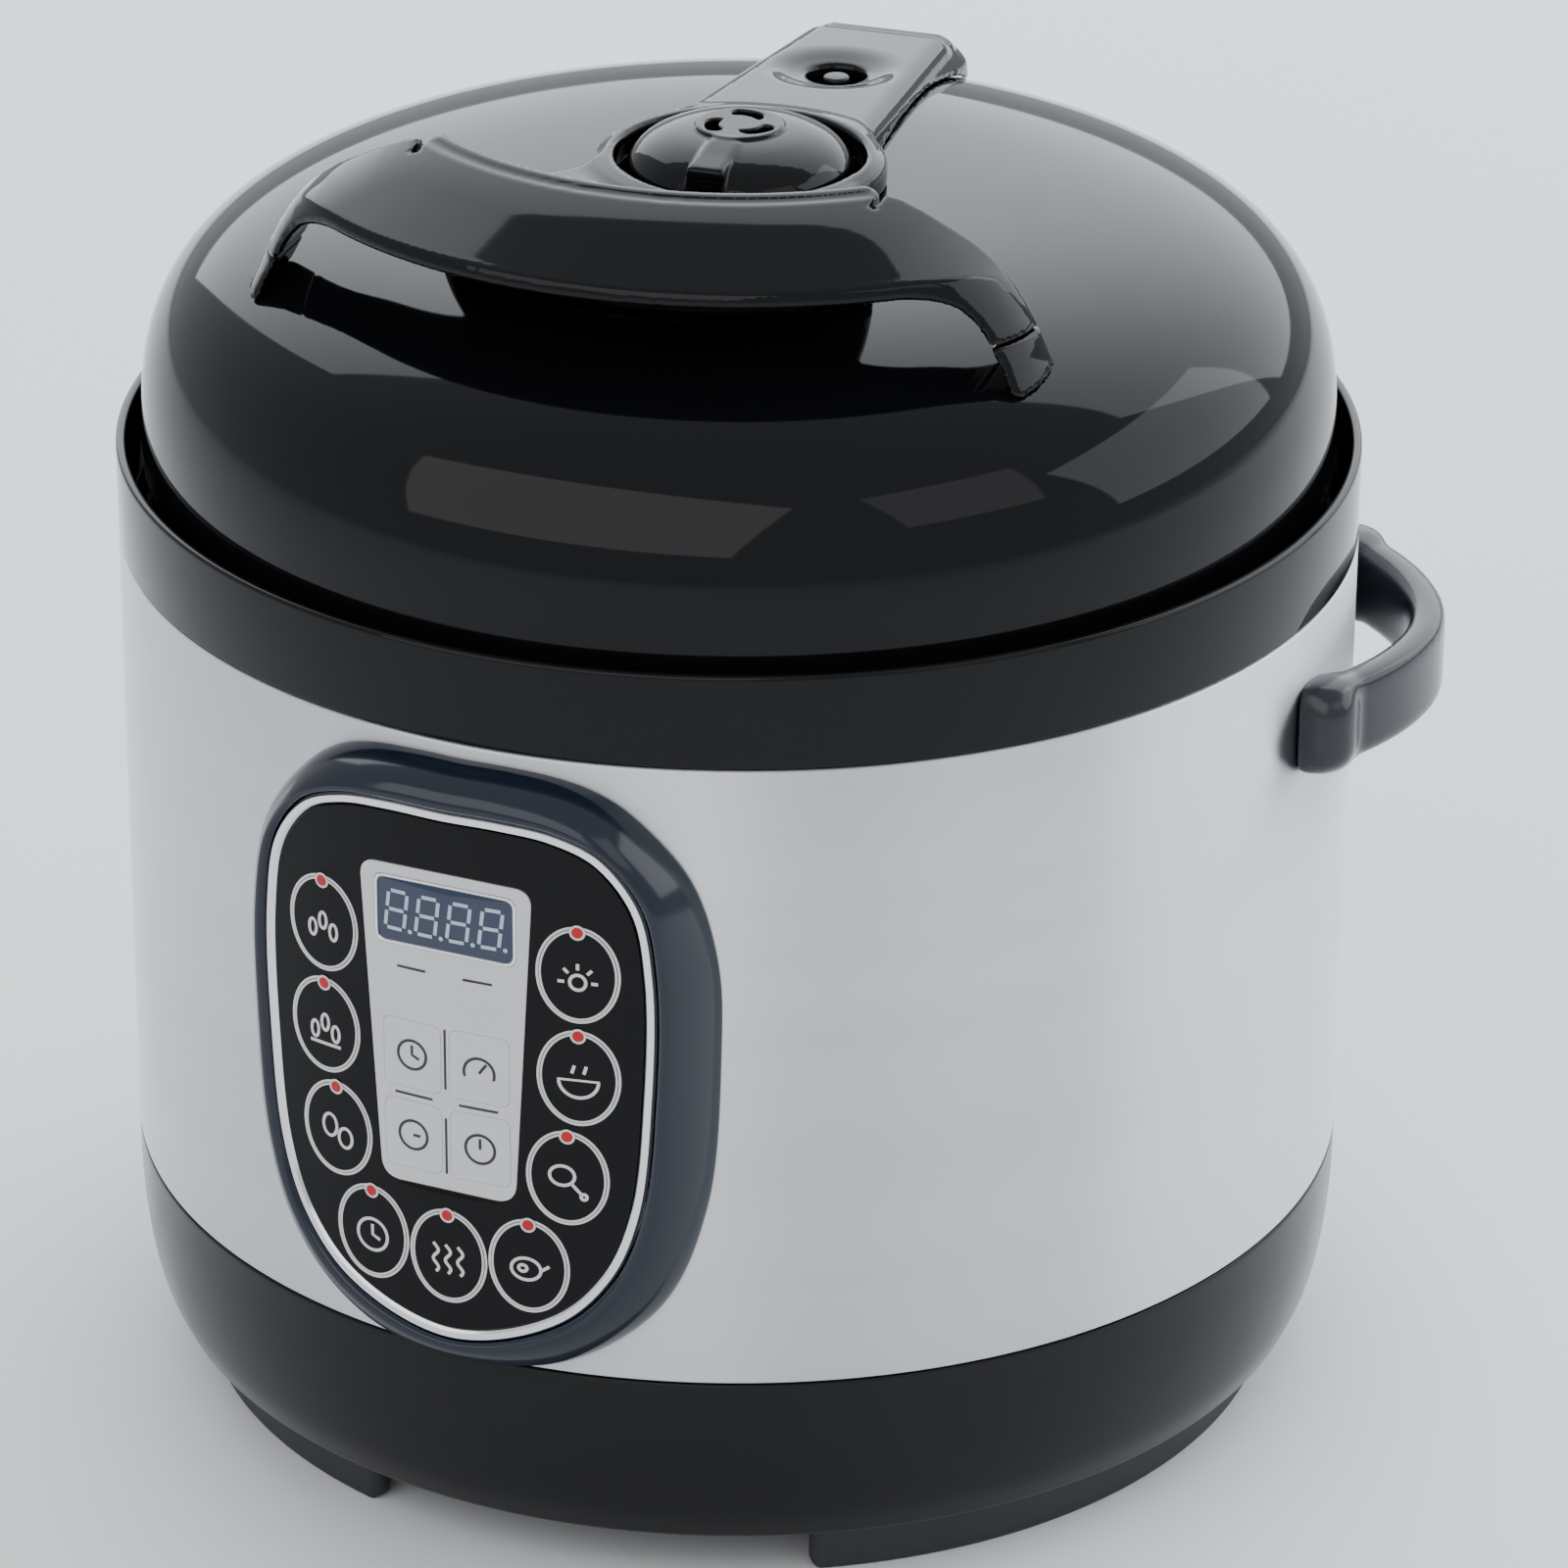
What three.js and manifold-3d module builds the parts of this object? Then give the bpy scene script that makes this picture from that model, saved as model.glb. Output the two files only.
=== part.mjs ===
// Electric pressure cooker, two-quart class: base with control panel, lift-out pot and twist-lock lid.
// Units are millimetres, +Z is up, z = 0 is the worktop and the control panel faces -Y.

import * as THREE from 'three';
import { mergeVertices } from 'three/addons/utils/BufferGeometryUtils.js';
import { TessellateModifier } from 'three/addons/modifiers/TessellateModifier.js';
import Module from 'manifold-3d';

const wasm = await Module();
wasm.setup();

// ---------- driving dimensions ----------
const GAP = 0.35;                 // clearance between neighbouring pieces
const SEGMENTS = 36;              // facets of a full turn

const BODY_R = 107;               // outside of the steel sleeve
const SLEEVE_WALL = 0.9;
const SLEEVE_Z = [43.4, 155.9];   // bottom and top edge of the sleeve
const RIM_Z = 172.5;              // top of the collar
const BASE_Z = 10.7;              // underside of the base shell
const BASE_BOTTOM_R = 102;
const FOOT_R = [91.5, 95.9];
const FEET_TURN = 8;              // the two foot skirts are centred on this bearing
const FOOT_GAP = 24;              // half of the open arc between the skirts

const POT_R = 78;                 // outside of the cooking pot
const POT_WALL = 1.3;
const POT_FLOOR_Z = 40;
const POT_RIM_Z = 159.2;
const POT_FLANGE_R = 90.5;

const HOUSING_R = [80, 82.2];     // fixed pressure housing around the pot
const HOUSING_FLANGE_R = 91.5;
const HOUSING_TOP_Z = 157.1;
const LUG_COUNT = 6;
const LUG_ARC = 26;               // degrees covered by one lug
const LUG_R = 96.8;               // reach of the housing's lugs
const LUG_THICK = 2.4;
const LOCK_TURN = 30;             // degrees from set-on to locked

const LID_R = 102.5;
const LID_EDGE_Z = 171.8;
const LID_TOP_Z = 216.3;
const LID_WALL = 2.6;
const LID_TURN = 5.8;             // bearing of the lid handle with the lid set on
const SKIRT_R = [98, 99.8];       // steel skirt of the inner lid
const SKIRT_BOTTOM_Z = 150.2;
const INNER_LID_Z = 198;          // crown of the inner lid
const INNER_LID_WALL = 1.8;

const SPINE_TOP_Z = 221;
const SPINE_HALF = 16;
const SPINE_END_Y = 88;
const SPINE_DROP = [22, 72, 3.2];  // the spine's top falls by 3.2 between these distances
const STRAP_R = [57, 81.5];       // back and front edge of the bridge handle
const STRAP_TOP_Z = 236.4;
const SHOULDER_Y = -44;           // back face of the handle's shoulders
const FOOT_SPLIT_Z = 215.5;       // parting line across the handle's legs
const KNOB_R = 19.7;
const KNOB_Z = [216.7, 226.8];
const WELL_R = 21.4;
const FLOAT_Y = 53;               // float valve, behind the lid's axis

const PANEL_R = 115.5;            // front of the fascia
const PANEL_CREST_R = 116.3;
const KEY_SIZE = [13.2, 16.4];      // width and height of a programme key
const KEY_THICK = 2;
const KEY_RISE = 0.3;

const HANDLE_BEARING = 105.5;     // side handles, measured from the panel
const HANDLE_Z = [130, 145];
const HANDLE_REACH = 123;
const HANDLE_THICK = 6;

// ---------- helpers ----------
const rad = THREE.MathUtils.degToRad;
const pick = (w, h) => new THREE.Vector2(w, h);

function finish(name, geometry, look) {
  const material = new THREE.MeshStandardMaterial({
    color: look.color, roughness: look.roughness, metalness: look.metalness });
  const mesh = new THREE.Mesh(geometry, material);
  mesh.name = name;
  return mesh;
}

function bare(geometry) {
  const copy = geometry.index ? geometry.toNonIndexed() : geometry.clone();
  for (const attribute of Object.keys(copy.attributes)) {
    if (attribute !== 'position') copy.deleteAttribute(attribute);
  }
  return mergeVertices(copy, 1e-4);
}

function toSolid(geometry) {
  const merged = bare(geometry);
  return new wasm.Manifold(new wasm.Mesh({
    numProp: 3,
    vertProperties: new Float32Array(merged.attributes.position.array),
    triVerts: new Uint32Array(merged.index.array) }));
}

function toGeometry(solid) {
  const mesh = solid.getMesh();
  const geometry = new THREE.BufferGeometry();
  geometry.setAttribute('position', new THREE.BufferAttribute(new Float32Array(mesh.vertProperties), 3));
  geometry.setIndex(new THREE.BufferAttribute(new Uint32Array(mesh.triVerts), 1));
  geometry.computeVertexNormals();
  return geometry;
}

// Turned piece about the Z axis. The profile is a list of [r, z] that goes round the section.
function turned(profile, segments = SEGMENTS) {
  const points = profile.map(([r, z]) => pick(r, z));
  if (profile[0][0] > 0) points.push(points[0].clone());
  const geometry = new THREE.LatheGeometry(points, segments);
  geometry.rotateX(Math.PI / 2);
  if (THREE.ShapeUtils.area(points) > 0) return geometry;
  return flipped(geometry);
}

function flipped(geometry) {
  const index = geometry.index.array;
  for (let i = 0; i < index.length; i += 3) [index[i + 1], index[i + 2]] = [index[i + 2], index[i + 1]];
  return geometry;
}

function disc(radius, low, high, segments = 24) {
  const geometry = new THREE.CylinderGeometry(radius, radius, high - low, segments);
  return geometry.rotateX(Math.PI / 2).translate(0, 0, (low + high) / 2);
}

function block(width, depth, height, x, y, z) {
  return new THREE.BoxGeometry(width, depth, height).translate(x, y, z);
}

// Plan shape in X and Y, raised from low to high.
function raised(shape, low, high, curveSegments = 12) {
  const geometry = new THREE.ExtrudeGeometry(shape, { depth: high - low, bevelEnabled: false,
    curveSegments });
  return geometry.translate(0, 0, low);
}

// Front view shape in X and Z, running along Y from near to far.
function frontView(shape, near, far, curveSegments = 12) {
  const geometry = new THREE.ExtrudeGeometry(shape, { depth: far - near, bevelEnabled: false,
    curveSegments });
  return geometry.rotateX(Math.PI / 2).translate(0, far, 0);
}

function polygon(points) {
  return new THREE.Shape(points.map(([x, y]) => pick(x, y)));
}

function ringSector(inner, outer, middle, half) {
  const shape = new THREE.Shape();
  const start = rad(middle - 90 - half);
  const end = rad(middle - 90 + half);
  shape.absarc(0, 0, outer, start, end, false);
  shape.absarc(0, 0, inner, end, start, true);
  return shape;
}

// Smooth closed outline, mirrored about the middle, from half of its points as [side, height].
function mirroredOutline(half, count) {
  const right = half.map(([s, z]) => new THREE.Vector3(s, z, 0));
  const left = half.slice(1, -1).reverse().map(([s, z]) => new THREE.Vector3(-s, z, 0));
  const curve = new THREE.CatmullRomCurve3([...right, ...left], true, 'centripetal');
  const points = curve.getSpacedPoints(count).slice(0, -1).map((p) => pick(p.x, p.y));
  return THREE.ShapeUtils.area(points) < 0 ? points.reverse() : points;
}

function grown(points, distance) {
  return points.map((p, i) => {
    const before = points[(i + points.length - 1) % points.length];
    const after = points[(i + 1) % points.length];
    const along = after.clone().sub(before).normalize();
    return pick(p.x + along.y * distance, p.y - along.x * distance);
  });
}

function roundedBox(cx, cz, width, height, radius) {
  const [l, r, b, t] = [cx - width / 2, cx + width / 2, cz - height / 2, cz + height / 2];
  const shape = new THREE.Shape();
  shape.absarc(r - radius, b + radius, radius, -Math.PI / 2, 0, false);
  shape.absarc(r - radius, t - radius, radius, 0, Math.PI / 2, false);
  shape.absarc(l + radius, t - radius, radius, Math.PI / 2, Math.PI, false);
  shape.absarc(l + radius, b + radius, radius, Math.PI, Math.PI * 1.5, false);
  return shape.getPoints(2);
}

function ellipse(cx, cz, width, height, count = 14) {
  const curve = new THREE.EllipseCurve(cx, cz, width / 2, height / 2, 0, Math.PI * 2);
  return curve.getPoints(count).slice(0, -1);
}

// Plate drawn as arc length and height, then wrapped round the panel's cylinder.
const BEND_STEP = 12;
const HEIGHT_SQUASH = 0.15;
function wrapped(outline, holes, inner, outer, bevel = 0) {
  const shape = new THREE.Shape(outline);
  shape.holes = holes.map((points) => new THREE.Path(points));
  const flat = new THREE.ExtrudeGeometry(shape, { depth: outer - inner - bevel, bevelEnabled: bevel > 0,
    bevelThickness: bevel, bevelSize: bevel, bevelOffset: -bevel, bevelSegments: 1 });
  flat.scale(1, HEIGHT_SQUASH, 1);
  const fine = new TessellateModifier(BEND_STEP, 40).modify(flat);
  fine.scale(1, 1 / HEIGHT_SQUASH, 1);
  const place = fine.attributes.position;
  for (let i = 0; i < place.count; i += 1) {
    const angle = place.getX(i) / PANEL_R;
    const r = Math.max(inner, inner + place.getZ(i));
    place.setXYZ(i, r * Math.sin(angle), -r * Math.cos(angle), place.getY(i));
  }
  return bare(fine);
}

// Piece drawn round the origin with its front along -Y, moved to a bearing on the panel.
function onPanel(geometry, arc, height) {
  return geometry.rotateZ(arc / PANEL_R).translate(0, 0, height);
}

// ---------- finishes ----------
const LOOK = {
  glossBlack: { color: 0x0b0c0e, roughness: 0.12, metalness: 0 },
  satinBlack: { color: 0x17181a, roughness: 0.4, metalness: 0 },
  softGrey: { color: 0x2b2f33, roughness: 0.45, metalness: 0 },
  navy: { color: 0x141b26, roughness: 0.2, metalness: 0 },
  steel: { color: 0xc9ccd0, roughness: 0.32, metalness: 1 },
  brightSteel: { color: 0xd5d7da, roughness: 0.2, metalness: 1 },
  aluminium: { color: 0xb5b7ba, roughness: 0.45, metalness: 1 },
  chrome: { color: 0xdcdde0, roughness: 0.08, metalness: 1 },
  brass: { color: 0xb08d4a, roughness: 0.35, metalness: 1 },
  silicone: { color: 0xd9d9d4, roughness: 0.6, metalness: 0 },
  redSilicone: { color: 0xa8281f, roughness: 0.6, metalness: 0 },
  card: { color: 0xbfc0c2, roughness: 0.5, metalness: 0 },
  lens: { color: 0x1b2c45, roughness: 0.06, metalness: 0 },
  board: { color: 0x1f5a33, roughness: 0.6, metalness: 0 },
  part: { color: 0x2a2a2c, roughness: 0.5, metalness: 0 },
  smoke: { color: 0x4a4f54, roughness: 0.15, metalness: 0 },
};

const cooker = new THREE.Group();
const add = (name, geometry, look) => cooker.add(finish(name, geometry, look));
const lid = new THREE.Group();
lid.rotation.z = rad(LID_TURN);
const addLid = (name, geometry, look) => lid.add(finish(name, geometry, look));

// ---------- base: shell, cover and feet ----------
const INLET = { width: 30, height: 24, z: 62, depth: 18, front: 113 };
const CUP = { width: 46, low: 100, high: 143, front: PANEL_CREST_R };

function baseShell() {
  const bulge = [[BASE_BOTTOM_R, BASE_Z], [104.3, 16], [105.8, 23], [106.7, 32], [BODY_R, SLEEVE_Z[0] - GAP]];
  const wall = 2.4;
  const inner = bulge.map(([r, z]) => [r - wall, z]).reverse();
  return turned([...bulge, ...inner]);
}

function bottomCover() {
  const cover = toSolid(disc(BASE_BOTTOM_R - 2.4 - GAP, BASE_Z, BASE_Z + 2.2, SEGMENTS));
  let open = cover;
  const slotCount = 12;
  for (let i = 0; i < slotCount; i += 1) {
    const slot = block(3, 16, 10, 0, 55, BASE_Z).rotateZ((i * Math.PI * 2) / slotCount);
    open = open.subtract(toSolid(slot));
  }
  return toGeometry(open);
}

function footSkirt(side) {
  const [inner, outer] = FOOT_R;
  const half = (180 - 2 * FOOT_GAP) / 2;
  return raised(ringSector(inner, outer, side * 90 + FEET_TURN, half), 0, BASE_Z - GAP, 9);
}

add('base_shell', baseShell(), LOOK.satinBlack);
add('bottom_cover', bottomCover(), LOOK.satinBlack);
add('foot_skirt_right', footSkirt(1), LOOK.softGrey);
add('foot_skirt_left', footSkirt(-1), LOOK.softGrey);

// ---------- base: sleeve and collar ----------
const SPOUT = { r: 3.2, bore: 2, y: 95, out: 110.6, z: 139.4 };

function bodySleeve() {
  const [low, high] = SLEEVE_Z;
  const inner = BODY_R - SLEEVE_WALL;
  const tube = toSolid(turned([[BODY_R, low], [BODY_R, high], [inner, high], [inner, low]]));
  const inletHole = block(INLET.width - 4 + 2 * GAP, 20, INLET.height - 4 + 2 * GAP, 0, BODY_R, INLET.z);
  const spoutHole = disc(SPOUT.r + 0.6, -10, 10, 16).rotateX(Math.PI / 2).translate(0, BODY_R, SPOUT.z);
  return toGeometry(tube.subtract(toSolid(inletHole)).subtract(toSolid(spoutHole)));
}

// The collar's outside wall stands on the sleeve and its trough catches water round the pot.
function topCollar() {
  const wall = 1.8;
  const troughR = BODY_R - SLEEVE_WALL - GAP;
  const section = [
    [BODY_R, SLEEVE_Z[1] + GAP], [BODY_R, RIM_Z - 0.6], [BODY_R - 0.6, RIM_Z], [BODY_R - wall + 0.6, RIM_Z],
    [BODY_R - wall, RIM_Z - 0.6], [BODY_R - wall, SLEEVE_Z[1] + 1],
    [troughR - wall, SLEEVE_Z[1] - 2], [troughR - wall, 146], [86, 146], [86, 153.4], [83.6, 153.4],
    [83.6, 144], [troughR, 144], [troughR, SLEEVE_Z[1] + GAP]];
  const drain = disc(SPOUT.bore, 140, 150, 12).translate(0, SPOUT.y, 0);
  return toGeometry(toSolid(turned(section)).subtract(toSolid(drain)));
}

function drainSpout() {
  const ring = new THREE.Shape().absarc(0, 0, SPOUT.r, 0, Math.PI * 2, false);
  ring.holes = [new THREE.Path().absarc(0, 0, SPOUT.bore, 0, Math.PI * 2, true)];
  const path = new THREE.CubicBezierCurve3(
    new THREE.Vector3(0, SPOUT.y, 144 - GAP), new THREE.Vector3(0, SPOUT.y, SPOUT.z),
    new THREE.Vector3(0, SPOUT.y + 4, SPOUT.z), new THREE.Vector3(0, SPOUT.out, SPOUT.z));
  return new THREE.ExtrudeGeometry(ring, { steps: 5, extrudePath: path, curveSegments: 4 });
}

add('body_sleeve', bodySleeve(), LOOK.steel);
add('top_collar', topCollar(), LOOK.glossBlack);
add('drain_spout', drainSpout(), LOOK.satinBlack);

// ---------- base: pressure housing, heater and sensor ----------
function lugRing(inner, outer, low, high, offset) {
  const lugs = [];
  for (let i = 0; i < LUG_COUNT; i += 1) {
    const middle = offset + (i * 360) / LUG_COUNT;
    lugs.push(toSolid(raised(ringSector(inner, outer, middle, LUG_ARC / 2), low, high, 2)));
  }
  return lugs;
}

function pressureHousing() {
  const [inner, outer] = HOUSING_R;
  const floor = [31.5, 33.5];
  const flangeZ = HOUSING_TOP_Z - LUG_THICK;
  const section = [[66, floor[0]], [outer, floor[0]], [outer, flangeZ], [HOUSING_FLANGE_R, flangeZ],
    [HOUSING_FLANGE_R, HOUSING_TOP_Z], [inner, HOUSING_TOP_Z], [inner, floor[1]], [66, floor[1]]];
  let solid = toSolid(turned(section));
  const offset = LID_TURN + LOCK_TURN;
  for (const lug of lugRing(89, LUG_R, flangeZ, HOUSING_TOP_Z, offset)) solid = solid.add(lug);
  return toGeometry(solid);
}

const PLATE_Z = [33.9, 38.7];
const SENSOR_R = 12.6;
function heatingPlate() {
  const rim = 1.2;
  return turned([[14.5, PLATE_Z[0]], [77, PLATE_Z[0]], [77, PLATE_Z[1] - rim], [74, PLATE_Z[1]],
    [14.5, PLATE_Z[1]]]);
}

const ELEMENT_R = 48;
const ELEMENT_TUBE_R = 4.2;
function heatingElement() {
  const circle = new THREE.Shape().absarc(0, 0, ELEMENT_TUBE_R, 0, Math.PI * 2, false);
  const points = [];
  const z = PLATE_Z[0] - GAP - ELEMENT_TUBE_R;
  for (let a = 110; a <= 430; a += 20) {
    points.push(new THREE.Vector3(ELEMENT_R * Math.cos(rad(a)), ELEMENT_R * Math.sin(rad(a)), z));
  }
  const path = new THREE.CatmullRomCurve3(points);
  return new THREE.ExtrudeGeometry(circle, { steps: 24, extrudePath: path, curveSegments: 4 });
}

function thermalSensor() {
  return turned([[0, 22], [9, 22], [9, 34], [SENSOR_R, 36], [SENSOR_R, 38.6], [SENSOR_R - 1, 39.6], [0,
    39.6]], 18);
}

function sensorHolder() {
  const hole = 9.5;
  return turned([[hole, 18], [12.2, 18], [12.2, 28.6], [13.6, 28.6], [13.6, 30.6], [hole, 30.6]], 18);
}

add('pressure_housing', pressureHousing(), LOOK.aluminium);
add('heating_plate', heatingPlate(), LOOK.aluminium);
add('heating_element', heatingElement(), LOOK.steel);
add('thermal_sensor', thermalSensor(), LOOK.aluminium);
add('sensor_holder', sensorHolder(), LOOK.part);
add('pressure_switch', block(26, 14, 9, -34, -20, 19), LOOK.part);
add('thermal_fuse', disc(3, -9, 9, 12).rotateY(Math.PI / 2).translate(30, 0, 27), LOOK.chrome);

// ---------- base: electrics ----------
const BOARD_Z = [15.4, 17];
add('power_board', block(56, 40, BOARD_Z[1] - BOARD_Z[0], 0, 76 - 14, (BOARD_Z[0] + BOARD_Z[1]) / 2),
  LOOK.board);
add('power_transformer', block(20, 16, 10.4, -12, 58, BOARD_Z[1] + GAP + 5.2), LOOK.part);
add('power_relay', block(16, 12, 12, 12, 72, BOARD_Z[1] + GAP + 6), LOOK.part);

function powerInlet() {
  const { width, height, z, depth, front } = INLET;
  const flange = new THREE.Shape(roundedBox(0, z, width, height, 3));
  const neck = block(width - 4, depth, height - 4, 0, front - 2.4 - depth / 2, z);
  const face = frontView(flange, BODY_R + 2 * GAP, front);
  const socket = frontView(new THREE.Shape(roundedBox(0, z, 22, 14, 2)), front - depth + 2, front + 5);
  return toGeometry(toSolid(face).add(toSolid(neck)).subtract(toSolid(socket)));
}

function inletPin(x, dz) {
  const root = INLET.front - INLET.depth + 2 + GAP;
  return block(4, 10, 1.8, x, root + 5, INLET.z + dz);
}

add('power_inlet', powerInlet(), LOOK.part);
add('inlet_pin_left', inletPin(-6.5, -1.6), LOOK.brass);
add('inlet_pin_right', inletPin(6.5, -1.6), LOOK.brass);
add('inlet_pin_earth', inletPin(0, 3), LOOK.brass);

// ---------- base: condensation cup ----------
function condensationCup() {
  const { width, low, high, front } = CUP;
  const back = BODY_R + 1.2;
  const curve = (r, x) => Math.sqrt(r * r - x * x);
  const plan = (grow, half) => {
    const points = [];
    for (let i = 0; i <= 8; i += 1) {
      const x = -half + (i * half) / 4;
      points.push([x, curve(back + grow, x)]);
    }
    points.push([half, front - 5 - grow], [half - 4, front - grow], [-half + 4, front - grow],
      [-half, front - 5 - grow]);
    return polygon(points);
  };
  const wall = 1.6;
  const body = toSolid(raised(plan(0, width / 2), low, high));
  const hollow = toSolid(raised(plan(wall, width / 2 - wall), low + 2, high + 5));
  const mouth = toSolid(block(16, 12, 20, 0, BODY_R - 1, SPOUT.z - SPOUT.r - 1 + 10));
  return toGeometry(body.subtract(hollow).subtract(mouth));
}

add('condensation_cup', condensationCup(), LOOK.smoke);

// ---------- base: side handles ----------
// Half of the loop's outside line in plan, as [sideways, outward from the cooker's axis].
function handleBand(inset) {
  const outer = [[-38, 98], [-30, 108.5], [-20, 117.5], [-9, 122], [0, HANDLE_REACH], [9, 122], [20, 117.5],
    [30, 108.5], [38, 98]];
  const points = outer.map(([s, u]) => new THREE.Vector3(s * (1 - inset / 36), u - inset, 0));
  return new THREE.CatmullRomCurve3(points).getSpacedPoints(14).map((p) => pick(p.x, -p.y));
}

function sideHandle(side) {
  const band = [...handleBand(0), ...handleBand(HANDLE_THICK).reverse()];
  const bevel = 1.6;
  const [low, high] = HANDLE_Z;
  const shape = new THREE.Shape(band);
  const loop = new THREE.ExtrudeGeometry(shape, { depth: high - low - 2 * bevel, bevelEnabled: true,
    bevelThickness: bevel, bevelSize: bevel, bevelOffset: -bevel, bevelSegments: 2 });
  loop.translate(0, 0, low + bevel);
  const core = toSolid(disc(BODY_R + GAP, low - 5, high + 5, SEGMENTS * 2));
  return toGeometry(toSolid(loop).subtract(core)).rotateZ(rad(side * HANDLE_BEARING));
}

add('side_handle_right', sideHandle(1), LOOK.softGrey);
add('side_handle_left', sideHandle(-1), LOOK.softGrey);

// ---------- control panel ----------
const arcAt = (degrees) => rad(degrees) * PANEL_R;
const HOUSING_HALF = [[0, 154], [arcAt(9), 153.2], [arcAt(15.5), 147.4], [arcAt(20.3), 136.8],
  [arcAt(22.7), 122], [arcAt(23), 105], [arcAt(21.8), 77], [arcAt(17.8), 58.2], [arcAt(9.5), 46.3], [0,
    43.8]];
const TRIM_HALF = [[0, 147.9], [arcAt(8.5), 147.6], [arcAt(13.4), 143.5], [arcAt(16.6), 135],
  [arcAt(17.8), 122], [arcAt(17.7), 100], [arcAt(16.6), 79], [arcAt(14.2), 66.6], [arcAt(9.6), 57], [0,
    50.9]];
const TRIM_WIDTH = 2;
const OUTLINE_POINTS = 40;
const housingOutline = mirroredOutline(HOUSING_HALF, OUTLINE_POINTS);
const trimOutline = mirroredOutline(TRIM_HALF, OUTLINE_POINTS);
const fasciaOutline = grown(trimOutline, -TRIM_WIDTH - GAP);

const KEYS = [
  ['key_white_rice', -23.2, 122.3], ['key_brown_rice', -23.2, 103.6], ['key_beans', -21.2, 85],
  ['key_slow_cook', -14.4, 67.6], ['key_steam', 0, 66.6], ['key_meat', 14.4, 67.6],
  ['key_poultry', 21.2, 85], ['key_soup', 23.2, 103.6], ['key_keep_warm', 23.2, 122.3]];
const CARD = { top: 136.4, bottom: 78.8, topHalf: 15.6, bottomHalf: 12.2, corner: 3 };
const WINDOW = { width: 25.4, low: 122.2, high: 134.4 };
const SETTING_SIZE = [10.6, 12.4];
const SETTINGS = [['key_delay', -6.1, 102.6], ['key_pressure', 6.1, 102.6],
  ['key_hour', -6.1, 87.8], ['key_minute', 6.1, 87.8]];

function cardOutline(grow) {
  const { top, bottom, topHalf, bottomHalf, corner } = CARD;
  const points = [];
  const corners = [[bottomHalf, bottom, -90], [topHalf, top, 0], [-topHalf, top, 90], [-bottomHalf,
    bottom, 180]];
  for (const [s, z, start] of corners) {
    const cx = s - Math.sign(s) * corner;
    const cz = z + (z === top ? -corner : corner);
    for (const a of [0, 45, 90]) {
      const turn = rad(start + a);
      points.push(pick(cx + (corner + grow) * Math.cos(turn), cz + (corner + grow) * Math.sin(turn)));
    }
  }
  return points;
}

const windowOutline = (grow) => roundedBox(0, (WINDOW.low + WINDOW.high) / 2, WINDOW.width + 2 * grow,
  WINDOW.high - WINDOW.low + 2 * grow, 2 + grow);

function keyHoles(list, [width, height], clearance) {
  return list.map(([, arc, z]) => ellipse(arc, z, width + 2 * clearance, height + 2 * clearance));
}

function keyCap([width, height]) {
  const shape = new THREE.Shape(ellipse(0, 0, width, height));
  return frontView(shape, -PANEL_R - KEY_RISE, -PANEL_R - KEY_RISE + KEY_THICK);
}

function settingCap() {
  const shape = new THREE.Shape(roundedBox(0, 0, ...SETTING_SIZE, 1.6));
  return frontView(shape, -PANEL_R - KEY_RISE, -PANEL_R - KEY_RISE + KEY_THICK);
}

const housingInner = grown(trimOutline, GAP);
add('panel_housing', wrapped(housingOutline, [housingInner], BODY_R + GAP + 0.2, PANEL_CREST_R, 2),
  LOOK.navy);
add('panel_trim', wrapped(trimOutline, [grown(trimOutline, -TRIM_WIDTH)], 112, PANEL_R + 0.2), LOOK.chrome);
add('panel_fascia', wrapped(fasciaOutline, [cardOutline(GAP), ...keyHoles(KEYS, KEY_SIZE, GAP)],
  PANEL_R - 1.8, PANEL_R), LOOK.glossBlack);
const settingHoles = SETTINGS.map(([, arc, z]) => roundedBox(arc, z, SETTING_SIZE[0] + 2 * GAP,
  SETTING_SIZE[1] + 2 * GAP, 2));
add('display_card', wrapped(cardOutline(0), [windowOutline(GAP), ...settingHoles], PANEL_R - 1.8, PANEL_R),
  LOOK.card);
add('display_window', wrapped(windowOutline(0), [], PANEL_R - 1.8, PANEL_R), LOOK.lens);
add('led_display', block(24, 2.6, 11, 0, -PANEL_R + 1.8 + GAP + 1.3 + 0.7, (WINDOW.low + WINDOW.high) / 2),
  LOOK.lens);
add('control_board', block(50, 1.6, 84, 0, -99, 100), LOOK.board);
for (const [name, arc, z] of KEYS) add(name, onPanel(keyCap(KEY_SIZE), arc, z), LOOK.glossBlack);
for (const [name, arc, z] of SETTINGS) add(name, onPanel(settingCap(), arc, z), LOOK.card);

// ---------- cooking pot ----------
function innerPot() {
  const inner = POT_R - POT_WALL;
  const corner = 9;
  return turned([[0, POT_FLOOR_Z], [POT_R - corner, POT_FLOOR_Z], [POT_R - 2.6, POT_FLOOR_Z + 2.6],
    [POT_R, POT_FLOOR_Z + corner], [POT_R, POT_RIM_Z - 1.6], [POT_FLANGE_R, POT_RIM_Z - 1.6],
    [POT_FLANGE_R, POT_RIM_Z], [inner, POT_RIM_Z], [inner, POT_FLOOR_Z + corner],
    [inner - corner, POT_FLOOR_Z + POT_WALL], [0, POT_FLOOR_Z + POT_WALL]]);
}
add('inner_pot', innerPot(), LOOK.brightSteel);

// ---------- lid: seal and inner lid ----------
add('sealing_ring', turned([[83, POT_RIM_Z + 0.4], [91, POT_RIM_Z + 0.4], [96.4, POT_RIM_Z + 2],
  [96.8, 164.2], [83, 164.2]]), LOOK.silicone);

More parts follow.
